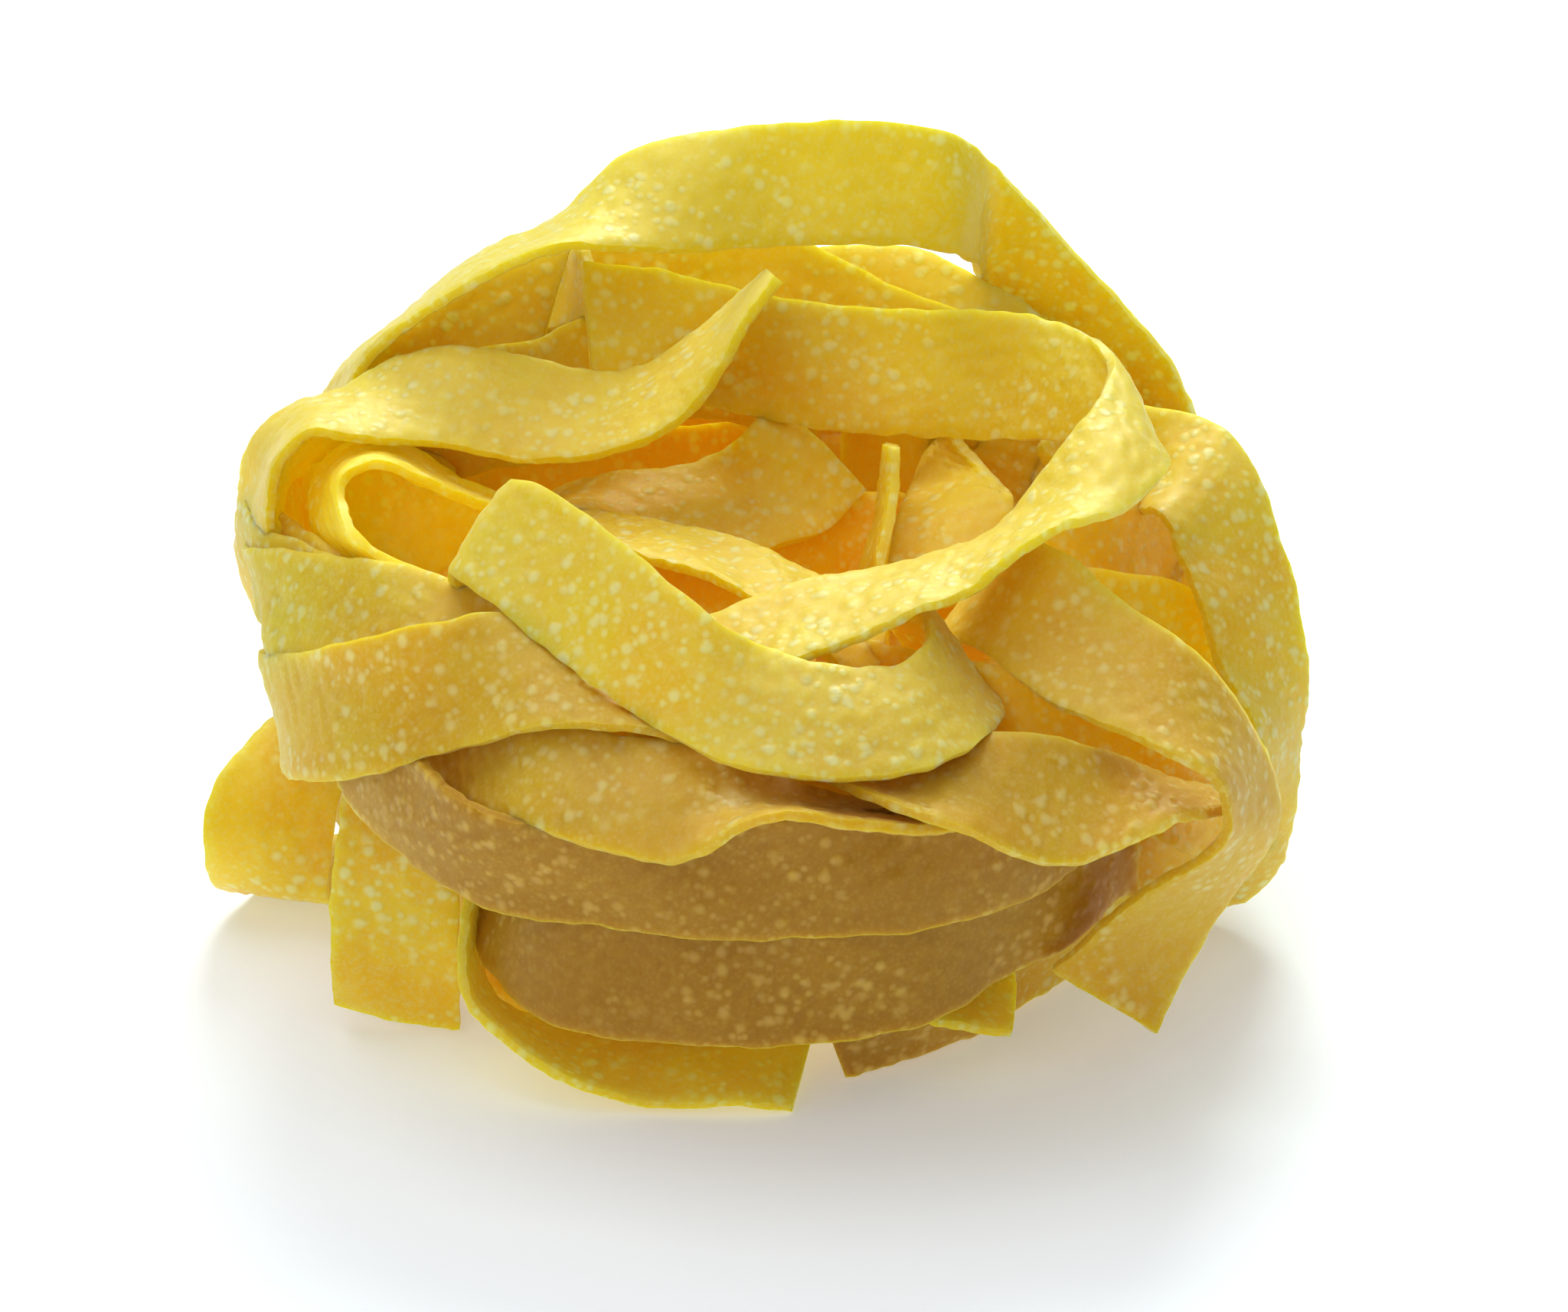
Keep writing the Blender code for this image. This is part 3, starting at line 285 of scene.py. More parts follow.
RIGHT_OUTER = (
    (16.0, 14.0, 13.0, 7.0, -5.0, 0), (20.5, 16.0, 17.5, 9.2, -1.0, 0),
    (24.4, 15.7, 21.0, 9.2, 3.0, 0), (27.8, 14.7, 23.0, 9.2, 6.0, 1), (30.0, 11.6, 24.3, 8.3, 7.5, 1),
    (31.7, 7.0, 25.6, 5.4, 8.0, 1), (32.9, 3.0, 26.9, 2.2, 8.3, 1), (33.2, -1.0, 28.3, -1.0, 8.0, 1),
    (32.8, -4.8, 29.9, -4.5, 7.0, 1), (32.4, -8.5, 29.8, -8.0, 5.5, 1), (32.2, -11.4, 29.2, -10.4, 3.0, 1),
    (31.2, -13.9, 27.6, -11.9, 0.5, 1), (28.6, -15.7, 25.0, -12.6, -1.5, 1),
    (23.5, -16.5, 21.0, -12.5, -4.0, 1),
)
RIGHT_INNER = (
    (17.2, 11.0, 15.9, 3.5, 11.0, 0), (20.5, 11.0, 19.2, 3.7, 9.0, 0), (24.5, 10.2, 23.0, 3.0, 4.5, 0),
    (28.5, 7.2, 26.5, 0.6, 0.0, 0), (29.5, 2.0, 26.5, -4.5, -4.0, 0),
)
RIGHT_DEEP = (
    (16.0, 6.0, 14.0, -1.0, 9.0, 0), (21.5, 5.4, 19.5, -1.8, 9.5, 0), (26.0, 4.2, 24.0, -3.0, 7.5, 0),
    (29.5, 0.0, 27.0, -6.5, 4.0, 0), (31.0, -5.5, 28.0, -11.0, -1.0, 0),
)
RIGHT_LOWER = (
    (13.0, -7.5, 13.5, -15.0, 14.0, -1), (18.0, -8.0, 19.0, -15.3, 13.5, -1),
    (23.5, -8.0, 24.5, -15.0, 12.0, -1), (28.0, -7.0, 29.3, -13.3, 7.5, -1),
    (30.2, -4.8, 30.9, -11.5, 0.5, -1), (28.5, -1.5, 28.5, -9.0, -8.0, -1),
)
FRONT_DEEP = (
    (5.0, 1.0, 5.0, -6.5, 18.0, 0), (10.0, 0.0, 10.0, -7.5, 20.5, 0), (15.0, -0.8, 14.8, -8.3, 22.0, 0),
    (20.0, -2.6, 19.5, -10.0, 21.0, 0), (25.5, -5.0, 24.5, -12.0, 17.0, 0),
    (29.0, -7.5, 28.0, -13.5, 11.0, 0),
)
INNER_LEAF = (
    (-20.0, 8.5, -19.0, 6.0, 0.0, 1), (-16.5, 9.6, -16.0, 7.6, 1.5, 1), (-13.3, 10.8, -12.7, 8.8, 2.5, 1),
    (-10.0, 11.7, -9.5, 7.0, 3.0, 1), (-6.5, 12.1, -4.7, 6.4, 2.5, 1), (-3.9, 13.0, -0.5, 6.9, 1.5, 1),
    (-2.2, 14.6, 2.8, 8.1, 0.5, 0), (-0.9, 16.3, 5.1, 10.5, -1.0, 0),
)
INNER_STRIP = (
    (-18.0, 8.5, -17.0, 6.0, 8.0, 1), (-14.0, 9.4, -13.0, 6.8, 9.5, 1), (-10.0, 8.9, -9.1, 6.1, 11.5, 1),
    (-6.0, 8.1, -5.2, 5.0, 13.5, 1), (-3.0, 7.3, -2.6, 3.9, 15.0, 1), (0.0, 6.1, -0.3, 2.6, 16.5, 1),
    (3.0, 4.4, 2.2, 0.6, 17.5, 1), (6.5, 2.0, 5.5, -2.0, 17.5, 1),
)
INNER_SLIVER = (
    (6.7, 13.6, 7.3, 13.3, 4.0, 1), (6.3, 11.6, 7.2, 11.3, 4.5, 1), (5.9, 9.4, 6.7, 9.2, 5.5, 1),
    (5.6, 7.0, 6.4, 7.0, 6.5, 1), (5.3, 4.0, 6.2, 4.0, 7.5, 1), (5.0, 0.5, 6.0, 0.5, 8.0, 1),
)
INNER_RIGHT_NEAR = (
    (6.0, 2.0, 13.6, 4.0, 8.5, 0), (6.9, 8.0, 14.6, 9.6, 5.5, 0), (8.3, 11.0, 13.6, 11.0, 2.0, 1),
    (9.3, 12.7, 12.0, 12.5, -1.5, 1), (10.0, 14.0, 11.0, 13.7, -4.5, 1), (10.3, 16.0, 11.0, 15.7, -8.0, 1),
)
INNER_RIGHT_FAR = (
    (4.0, 15.5, 3.5, 8.0, -9.0, 0), (8.0, 15.8, 8.0, 8.0, -6.5, 0), (12.5, 15.8, 12.8, 8.2, -4.5, 0),
    (17.5, 15.0, 18.2, 7.5, -3.5, 0), (22.0, 13.0, 23.0, 6.0, -5.5, 0),
)

# Ribbons that only show through gaps or from above: a folded flap, and what lies deeper
BACK_FLAP = (
    (-14.1, 26.4, -12.8, 26.0, -6.5, 1), (-14.3, 24.6, -12.3, 24.2, -5.6, 1),
    (-14.8, 22.4, -12.2, 22.8, -5.2, 1), (-15.3, 20.5, -12.7, 21.7, -5.0, 1),
)
RIM_INSIDE = (
    (-27.0, 14.6, -26.5, 13.2, 2.5, -1), (-30.2, 14.2, -29.3, 12.6, 3.5, -1),
    (-32.0, 12.8, -30.6, 11.5, 4.0, -1), (-32.9, 10.8, -31.0, 10.0, 4.0, -1),
    (-32.7, 8.6, -30.6, 8.2, 4.0, -1), (-31.2, 6.9, -29.2, 6.8, 4.5, -1),
)
CURL_INSIDE = (
    (-31.0, 12.0, -30.5, 4.6, 2.5, 0), (-27.5, 12.6, -27.0, 5.2, 5.0, 0), (-23.0, 12.0, -22.5, 4.8, 5.5, 0),
    (-18.5, 10.5, -18.0, 3.4, 4.5, 0), (-14.0, 8.5, -13.5, 1.5, 3.0, 0),
)
CRATER_BACK = (
    (-8.0, 17.0, -8.5, 9.5, -10.5, 0), (-1.0, 17.2, -1.5, 9.7, -12.0, 0),
    (5.0, 17.0, 5.0, 9.5, -13.0, 0), (11.0, 16.5, 11.0, 9.0, -13.0, 0),
)
CRATER_WALL = (
    (-13.0, 8.0, -12.5, 0.5, 6.0, 0), (-6.0, 9.0, -6.0, 1.5, 2.5, 0), (0.0, 10.0, 0.0, 2.5, 0.0, 0),
    (5.0, 10.5, 5.0, 3.0, -1.5, 0), (10.0, 10.0, 10.0, 2.5, -1.0, 0), (16.0, 8.5, 15.5, 1.5, 1.0, 0),
)
CRATER_FLOOR_ACROSS = (
    (-16.0, 2.5, -16.0, -1.0, 1.0, 1), (-10.0, 0.0, -10.0, -3.5, -0.5, 1), (-3.0, -1.0, -3.0, -4.5, -1.3, 1),
    (4.0, -0.5, 4.0, -4.0, -1.3, 1), (11.0, 1.0, 11.0, -2.5, 0.0, 1), (17.0, 4.0, 17.0, 0.5, 2.0, 1),
)
CRATER_FLOOR_ALONG = (
    (-5.0, 8.5, 2.5, 8.0, -13.0, 0), (-6.0, 4.8, 1.7, 4.3, -10.5, 0),
    (-5.5, -0.8, 2.2, -1.3, -0.6, 0), (-4.5, -5.0, 3.2, -5.5, 10.0, 0),
)
LOW_DEEP = (
    (-22.0, -17.5, -20.0, -24.5, 4.0, 0), (-17.0, -18.0, -16.0, -25.5, 9.0, 0),
    (-11.0, -18.0, -11.0, -25.5, 13.0, 0), (-5.0, -18.0, -5.0, -25.5, 15.0, 0),
)

# The pieces that the ribbons make up: ribbons that touch are in different pieces where their
# translucent dough would show a dark seam
SHOWN_RIBBONS = {
    "back_ribbons": (TOP_ARCH, ARCH_LINING, BACK_BAND, BACK_RIM, SHOULDER_BAND),
    "rim_ribbons": (LEFT_LEAF, BACK_FLAP),
    "left_ribbons": (LEFT_WALL,),
    "left_low_ribbons": (LEFT_LOWER, LEFT_WALL_THIRD),
    "left_wall_ribbons": (LEFT_WALL_SECOND, LEFT_FOOT, LEFT_LOOP),
    "front_ribbons": (FRONT_SASH, INNER_BAND),
    "leaf_ribbons": (FRONT_LEAF_LEFT, FRONT_LEAF_RIGHT, RIGHT_DIAGONAL),
    "belt_ribbons": (FRONT_BELT_UPPER, FRONT_BELT_LOWER, BOTTOM_RIGHT),
    "low_ribbons": (BOTTOM_RIBBON, BOTTOM_STUB),
    "right_ribbons": (RIGHT_OUTER, RIGHT_LOWER),
    "inner_ribbons": (INNER_LEAF, INNER_STRIP, INNER_SLIVER, INNER_RIGHT_NEAR, INNER_RIGHT_FAR),
    "lining_ribbons": (LEFT_LINING, RIGHT_INNER),
    "coil_ribbons": (INNER_CURL,),
    "curl_ribbons": (RIM_INSIDE, CURL_INSIDE, RIGHT_DEEP),
    "deep_ribbons": (
        CRATER_BACK, CRATER_WALL, CRATER_FLOOR_ACROSS, CRATER_FLOOR_ALONG, FRONT_DEEP, LOW_DEEP,
    ),
}

# A wound ribbon: start and end of its turn in degrees (0 is +X, 90 is the back), its heights
# there, and how far it stands off the nest's surface, so that crossing ribbons stay apart
WOUND_RIBBONS = (
    (0, 110, 6.0, 4.5, 0.0), (70, 170, 5.0, 6.5, 1.2), (-5, 125, 13.0, 11.0, 0.0),
    (80, 170, 11.0, 15.0, 1.3), (5, 120, 17.0, 20.5, 1.2), (55, 170, 20.5, 17.0, 0.1),
    (12, 130, 25.5, 22.0, 0.0), (75, 150, 24.0, 26.0, 1.1), (35, 115, 28.0, 28.5, -0.8),
    (25, 120, 24.5, 9.0, 2.3), (92, 160, 8.0, 22.5, 2.4),
)
# Where in its turn each wound ribbon's wave starts, in radians
WOUND_PHASES = (2.035, 0.948, 4.09, 0.455, 3.367, 2.298, 0.364, 3.188, 0.236, 2.725, 0.439)
# The wound ribbons of each piece, by their place in the list
WOUND_PIECES = ((0, 4), (1, 5), (2, 6, 9), (3, 7), (8, 10))

# The dough's colours, from its clear parts to its pale ones, a yellower one painted on its top for the light
# that falls there, and painted shade for its fronts
DOUGH_DEEP = (0.90, 0.575, 0.004, 1.0)
DOUGH_LIGHT = (0.92, 0.665, 0.020, 1.0)
# Painted light: a yellower dough for the top, where the light from above and behind falls
DOUGH_PAINTED_LIT_TOP = (0.92, 0.73, 0.02, 1.0)
DOUGH_SPOT = (0.98, 0.86, 0.40, 1.0)
# Painted shade: a darker gold for the fronts that stand in shade, and for their blisters
PAINTED_SHADE = (0.50, 0.27, 0.003, 1.0)
PAINTED_SHADE_SPOT = (0.72, 0.50, 0.11, 1.0)

# The dough's texture: repeats a metre of its clouds, grain and crowds of blisters
CLOUD_SCALE = 170.0
GRAIN_SCALE = 2600.0
CROWD_SCALE = 120.0

# Blisters: cells a metre, and how far from a cell's middle a blister ends; all are whole within
# BLISTER_HEART of it
LARGE_BLISTERS = (720.0, 0.40)
MIDDLING_BLISTERS = (1200.0, 0.42)
SMALL_BLISTERS = (2300.0, 0.46)
BLISTER_HEART = 0.10

# How much the dough is paled: where it faces up, as painted light from above, and by its flour and by its
# blisters
PAINTED_UPWARD_LIGHT_SHARE = 0.16
FLOURY_SHARE = 0.24
SMALL_SHARE = 0.20
MIDDLING_SHARE = 0.66
LARGE_SHARE = 0.85

# How far blisters stand out, as shares of the bump's depth in metres
MIDDLING_RISE = 0.45
LARGE_RISE = 0.9
BUMP_STRENGTH = 0.7
BUMP_DEPTH = 0.00012

# Heights between which the dough turns yellower, as painted light for its top, and depths between which a
# front turns darker, as painted shade, in metres
PAINTED_LIT_TOP_FROM = 0.022
PAINTED_LIT_TOP_TO = 0.048
PAINTED_LIT_TOP_SHARE = 0.8
PAINTED_SHADE_FROM = -0.006
PAINTED_SHADE_TO = -0.026

# How light goes into the dough, with the depth in metres, and how its surface shines
LIGHT_DEPTH = 0.0016
LIGHT_DEPTH_SHARES = (1.0, 0.95, 0.08)
ROUGHNESS_LOWEST = 0.40
ROUGHNESS_HIGHEST = 0.60
SHEEN_PLAIN = 0.26
# Sheen that the painted shade takes away
SHEEN_LOST_WHEN_PAINTED_SHADE = 0.18
SHEEN_TINT = (1.0, 0.96, 0.82, 1.0)

# The materials: how much of the front's painted shade they take, and their painted glow, if any, for light
# that comes through the dough or up from the floor
MATERIALS = {
    "egg_pasta": (0.0, None),
    "egg_pasta_part_painted_shade": (0.40, None),
    "egg_pasta_painted_shade": (1.0, None),
    # Painted glow: these doughs glow for the light that comes through their layers or, low down, up from the
    # floor
    "egg_pasta_low_painted_light": (0.0, (0.035, 0.040, 0.004, 1.0)),
    "egg_pasta_inner_painted_light": (0.0, (0.025, 0.018, 0.0, 1.0)),
    "egg_pasta_lining_painted_light": (0.0, (0.09, 0.045, 0.0, 1.0)),
    "egg_pasta_curl_painted_light": (0.0, (0.11, 0.088, 0.0, 1.0)),
    "egg_pasta_deep_painted_light": (0.0, (0.07, 0.028, 0.0, 1.0)),
}

# The pieces that aren't of the plain material
MATERIAL_OF = {
    "left_ribbons": "egg_pasta_part_painted_shade",
    "left_low_ribbons": "egg_pasta_part_painted_shade",
    "leaf_ribbons": "egg_pasta_part_painted_shade",
    "low_ribbons": "egg_pasta_low_painted_light",
    "belt_ribbons": "egg_pasta_painted_shade",
    "inner_ribbons": "egg_pasta_inner_painted_light",
    "lining_ribbons": "egg_pasta_lining_painted_light",
    "curl_ribbons": "egg_pasta_curl_painted_light",
    "coil_ribbons": "egg_pasta_curl_painted_light",
    "deep_ribbons": "egg_pasta_deep_painted_light",
    "core": "egg_pasta_deep_painted_light",
}

# The floor's side in metres, its colours, and its own faint light
FLOOR_SIDE = 6.0
FLOOR_DARK = (0.80, 0.86, 0.94, 1.0)
FLOOR_PALE = (0.83, 0.89, 0.97, 1.0)
FLOOR_GLOW = (0.92, 0.96, 1.0, 1.0)
FLOOR_GLOW_STRENGTH = 0.24

# The sky's colours below and above, and the heights between which one turns into the other
SKY_LOW = (0.03, 0.025, 0.02, 1.0)
SKY_HIGH = (0.58, 0.58, 0.58, 1.0)
SKY_FROM = 0.3
SKY_TO = 1.0

# The square lights: place, the height on the nest's axis at which it aims, and side in metres,
# power in watts, and colour
LIGHTS = {
    "key": ((-0.16, 0.10, 0.60), 0.02, 0.5, 1.0, (1.0, 0.96, 0.88)),
    "front_fill": ((-0.25, -0.48, 0.30), 0.03, 0.4, 0.5, (1.0, 0.93, 0.8)),
    "back": ((0.05, 0.50, 0.44), 0.03, 0.3, 2.4, (0.93, 1.0, 0.9)),
}


def world_point(across, up, near):
    """A point of the layout plane, and how near it is to the viewer, as a place in the nest."""
    shrink = (VIEW_DISTANCE - near) / VIEW_DISTANCE
    back = up * shrink * math.sin(VIEW_TILT) - near * math.cos(VIEW_TILT)
    rise = up * shrink * math.cos(VIEW_TILT) + near * math.sin(VIEW_TILT)
    return VIEW_CENTRE + Vector((across * shrink, back, rise))


def rung_points(rung):
    """The two ends of a rung: what its seen length leaves of the ribbon's width is its depth.
    A rung that would reach the floor is lifted on to it."""
    across_one, up_one, across_two, up_two, near, nearer_edge = rung
    shrink = (VIEW_DISTANCE - near) / VIEW_DISTANCE
    seen_length = math.hypot(across_two - across_one, up_two - up_one) * shrink
    depth = nearer_edge * math.sqrt(max(RIBBON_WIDTH ** 2 - seen_length ** 2, 0.0))
    one = world_point(across_one, up_one, near - depth / 2)
    two = world_point(across_two, up_two, near + depth / 2)
    lift = Vector((0.0, 0.0, max(LOWEST_EDGE - min(one.z, two.z), 0.0)))
    return one + lift, two + lift


def wound_rungs(start, end, start_height, end_height, stand_off, phase):
    """The rungs of a ribbon wound flat on the nest's surface, with its ends tucked into the core."""
    rungs = []
    steps = max(FEWEST_STEPS, round((end - start) / WOUND_STEP))
    for step in range(-1, steps + 2):
        share = step / steps
        turn = math.radians(start + (end - start) * share)
        height = start_height + (end_height - start_height) * share
        height += WOUND_WAVE * math.sin(phase + 2.0 * math.pi * share)
        level = (height - WOUND_MIDDLE_HEIGHT) / WOUND_HALF_HEIGHT
        fullness = math.sqrt(1.0 - level ** 2)
        lean = math.atan(WOUND_RADIUS_X * level / (WOUND_HALF_HEIGHT * fullness))
        swell = stand_off - (WOUND_TUCK if step in (-1, steps + 1) else 0.0)
        outward = Vector((math.cos(turn), math.sin(turn), 0.0))
        middle = CORE_CENTRE + Vector((
            (WOUND_RADIUS_X * fullness + swell) * outward.x,
            (WOUND_RADIUS_Y * fullness + swell) * outward.y,
            height,
        ))
        half_width = (Vector((0.0, 0.0, math.cos(lean))) - outward * math.sin(lean)) * RIBBON_WIDTH / 2
        middle.z = max(middle.z, half_width.z + LOWEST_EDGE)
        rungs.append((middle + half_width, middle - half_width))
    return rungs


def smooth_curve(points, samples):
    """A smooth curve through an array of points, with that many samples from each to the next."""
    padded = np.concatenate((points[:1], points, points[-1:]))
    pieces = []
    share = (np.arange(samples) / samples)[:, None]
    for index in range(len(points) - 1):
        before, start, end, after = padded[index:index + 4]
        slope = (end - before) * share
        bend = (before * 2 - start * 5 + end * 4 - after) * share ** 2
        twist = (start * 3 - before - end * 3 + after) * share ** 3
        pieces.append(start + (slope + bend + twist) / 2)
    pieces.append(points[-1:])
    return np.concatenate(pieces)


def soft_noise(along, across, height, length, generator, waves=NOISE_WAVES):
    """Gentle random waves over a surface, given in its own two directions."""
    total = np.zeros(np.broadcast(along, across).shape)
    for _ in range(waves):
        turn = generator.uniform(0.0, 2.0 * math.pi)
        pace = 2.0 * math.pi / (length * generator.uniform(SHORTEST_SHARE, LONGEST_SHARE))
        phase = generator.uniform(0.0, 2.0 * math.pi)
        total += np.sin(pace * (along * math.cos(turn) + across * math.sin(turn)) + phase)
    return total * height / math.sqrt(waves / 2.0)


def unit(vectors):
    """The vectors at length one."""
    return vectors / np.maximum(np.linalg.norm(vectors, axis=-1, keepdims=True), 1e-9)


def grid_faces(rows, columns, first):
    """The quads of a grid of points, numbered row by row from first."""
    row, column = np.meshgrid(np.arange(rows - 1), np.arange(columns - 1), indexing="ij")
    corner = (first + row * columns + column).ravel()
    return np.stack((corner, corner + 1, corner + columns + 1, corner + columns), axis=1)


def belt_faces(ring_one, ring_two):
    """The quads between two closed rings of point numbers."""
    return np.stack((ring_one, ring_two, np.roll(ring_two, -1), np.roll(ring_one, -1)), axis=1)


def mesh_object(name, points, faces):
    """A smooth-shaded object of points in millimetres and quads, kept inside the solid's box."""
    places = np.clip((points - np.array(BOX_MIDDLE)) * MM, *np.array(cad_bounds))
    mesh = bpy.data.meshes.new(name)
    mesh.vertices.add(len(places))
    mesh.vertices.foreach_set("co", places.astype(np.float32).ravel())
    mesh.loops.add(faces.size)
    mesh.loops.foreach_set("vertex_index", faces.astype(np.int32).ravel())
    mesh.polygons.add(len(faces))
    mesh.polygons.foreach_set("loop_start", np.arange(0, faces.size, 4, dtype=np.int32))
    mesh.polygons.foreach_set("loop_total", np.full(len(faces), 4, dtype=np.int32))
    mesh.update(calc_edges=True)
    mesh.polygons.foreach_set("use_smooth", np.ones(len(faces), dtype=bool))
    result = bpy.data.objects.new(name, mesh)
    bpy.context.scene.collection.objects.link(result)
    return result


def ribbon_shape(rungs, pitch, generator):
    """A ribbon of dried dough through the rungs: points and faces of its two sides, each with its
    own relief, and of its uneven cut edges."""
    edges = smooth_curve(np.array(rungs, dtype=float).reshape(len(rungs), 6), RUNG_SAMPLES)
    middles = (edges[:, :3] + edges[:, 3:]) / 2
    travelled = np.concatenate(([0.0], np.cumsum(np.linalg.norm(np.diff(middles, axis=0), axis=1))))
    rows = max(FEWEST_ROWS, round(travelled[-1] / pitch)) + 1
    columns = max(FEWEST_COLUMNS, round(RIBBON_WIDTH / pitch)) + 1
    along = np.linspace(0.0, travelled[-1], rows)
    edges = np.stack([np.interp(along, travelled, edges[:, axis]) for axis in range(6)], axis=1)
    one, two = edges[:, None, :3], edges[:, None, 3:]
    arrow = unit(two - one)
    fray_one = soft_noise(along, 0.0, EDGE_HEIGHT, EDGE_LENGTH, generator)
    fray_two = soft_noise(along, 0.0, EDGE_HEIGHT, EDGE_LENGTH, generator)
    one = one + arrow * fray_one[:, None, None]
    two = two - arrow * fray_two[:, None, None]
    share = np.linspace(0.0, 1.0, columns)[None, :, None]
    middle = one * (1.0 - share) + two * share
    normal = unit(np.cross(np.gradient(middle, axis=0), arrow))
    place_along = along[:, None]
    place_across = (share[:, :, 0] - 0.5) * RIBBON_WIDTH
    wave = soft_noise(place_along, place_across, WAVE_HEIGHT, WAVE_LENGTH, generator)
    middle = middle + normal * wave[..., None]
    to_edge = np.minimum(share, 1.0 - share)[:, :, 0] * RIBBON_WIDTH
    fullness = EDGE_SHARE + (1.0 - EDGE_SHARE) * np.sqrt(np.clip(to_edge / EDGE_ROUNDING, 0.0, 1.0))
    half = RIBBON_THICKNESS / 2 * fullness
    peel_top = soft_noise(place_along, place_across, PEEL_HEIGHT, PEEL_LENGTH, generator, PEEL_WAVES)
    peel_low = soft_noise(place_along, place_across, PEEL_HEIGHT, PEEL_LENGTH, generator, PEEL_WAVES)
    top = (middle + normal * (half + peel_top)[..., None]).reshape(-1, 3)
    low = (middle - normal * (half + peel_low)[..., None]).reshape(-1, 3)
    count = rows * columns
    numbers = np.arange(count).reshape(rows, columns)
    ring = np.concatenate((numbers[0, :-1], numbers[:-1, -1], numbers[-1, :0:-1], numbers[:0:-1, 0]))
    edge_one = 2 * count + np.arange(len(ring))
    faces = np.concatenate((
        grid_faces(rows, columns, 0),
        grid_faces(rows, columns, count)[:, ::-1],
        belt_faces(edge_one, edge_one + len(ring)),
    ))
    return np.concatenate((top, low, top[ring], low[ring])), faces


def joined_object(name, shapes):
    """One object of several shapes, each given as its points and faces."""
    all_points, all_faces = zip(*shapes)
    firsts = np.cumsum([0] + [len(points) for points in all_points[:-1]])
    numbered = [faces + first for faces, first in zip(all_faces, firsts)]
    return mesh_object(name, np.concatenate(all_points), np.concatenate(numbered))


def make_core(name):
    """The core: the bowl's profile turned round its middle."""
    profile = smooth_curve(np.array(CORE_PROFILE)[1:-1], PROFILE_SAMPLES)
    turns = np.linspace(0.0, 2.0 * math.pi, CORE_SIDES, endpoint=False)[:, None]
    x = profile[None, :, 0] * np.cos(turns) + CORE_CENTRE.x
    y = profile[None, :, 0] * np.sin(turns) + CORE_CENTRE.y
    z = np.broadcast_to(profile[None, :, 1], x.shape) + CORE_CENTRE.z
    rings = np.stack((x, y, z), axis=-1).transpose(1, 0, 2).reshape(-1, 3)
    tips = [(CORE_CENTRE.x, CORE_CENTRE.y, CORE_PROFILE[end][1]) for end in (0, -1)]
    points = np.concatenate((rings, tips))
    low_tip, high_tip = len(rings), len(rings) + 1
    top_ring = len(rings) - CORE_SIDES
    faces = []
    for first in range(0, top_ring, CORE_SIDES):
        ring = np.arange(CORE_SIDES) + first
        faces.append(belt_faces(ring, ring + CORE_SIDES)[:, ::-1])
    one = np.arange(0, CORE_SIDES, 2)
    two = one + 1
    three = (one + 2) % CORE_SIDES
    faces.append(np.stack((np.full_like(one, low_tip), three, two, one), axis=1))
    faces.append(np.stack((np.full_like(one, high_tip), *(np.stack((one, two, three)) + top_ring)), axis=1))
    return mesh_object(name, points, np.concatenate(faces))


def add_node(tree, kind, inputs=(), **settings):
    """A node with settings, and with values or links on its inputs."""
    node = tree.nodes.new(kind)
    for key, value in settings.items():
        setattr(node, key, value)
    for key, value in dict(inputs).items():
        if isinstance(value, bpy.types.NodeSocket):
            tree.links.new(value, node.inputs[key])
        else:
            node.inputs[key].default_value = value
    return node


def ramp(tree, factor, low, high):
    """A factor stretched so that low gives 0 and high gives 1."""
    node = add_node(tree, "ShaderNodeMapRange", {
        "Value": factor, "From Min": low, "From Max": high, "To Min": 0.0, "To Max": 1.0,
    }, interpolation_type="SMOOTHSTEP")
    return node.outputs["Result"]


def mixed(tree, factor, one, two):
    """Two colours mixed by a factor."""
    node = add_node(tree, "ShaderNodeMix", data_type="RGBA")
    for socket, value in (("Factor_Float", factor), ("A_Color", one), ("B_Color", two)):
        found = next(item for item in node.inputs if item.identifier == socket)
        if isinstance(value, bpy.types.NodeSocket):
            tree.links.new(value, found)
        else:
            found.default_value = value
    return next(item for item in node.outputs if item.identifier == "Result_Color")


def blister_spots(tree, place, scale, reach):
    """Round spots at random places: 1 in the middle of each and 0 between them."""
    cells = add_node(tree, "ShaderNodeTexVoronoi", {"Vector": place, "Scale": scale, "Randomness": 0.95})
    return ramp(tree, cells.outputs["Distance"], reach, BLISTER_HEART)


def product(tree, one, two, added=0.0):
    """One times two, plus what is added."""
    return add_node(tree, "ShaderNodeMath", {0: one, 1: two, 2: added}, operation="MULTIPLY_ADD").outputs[0]


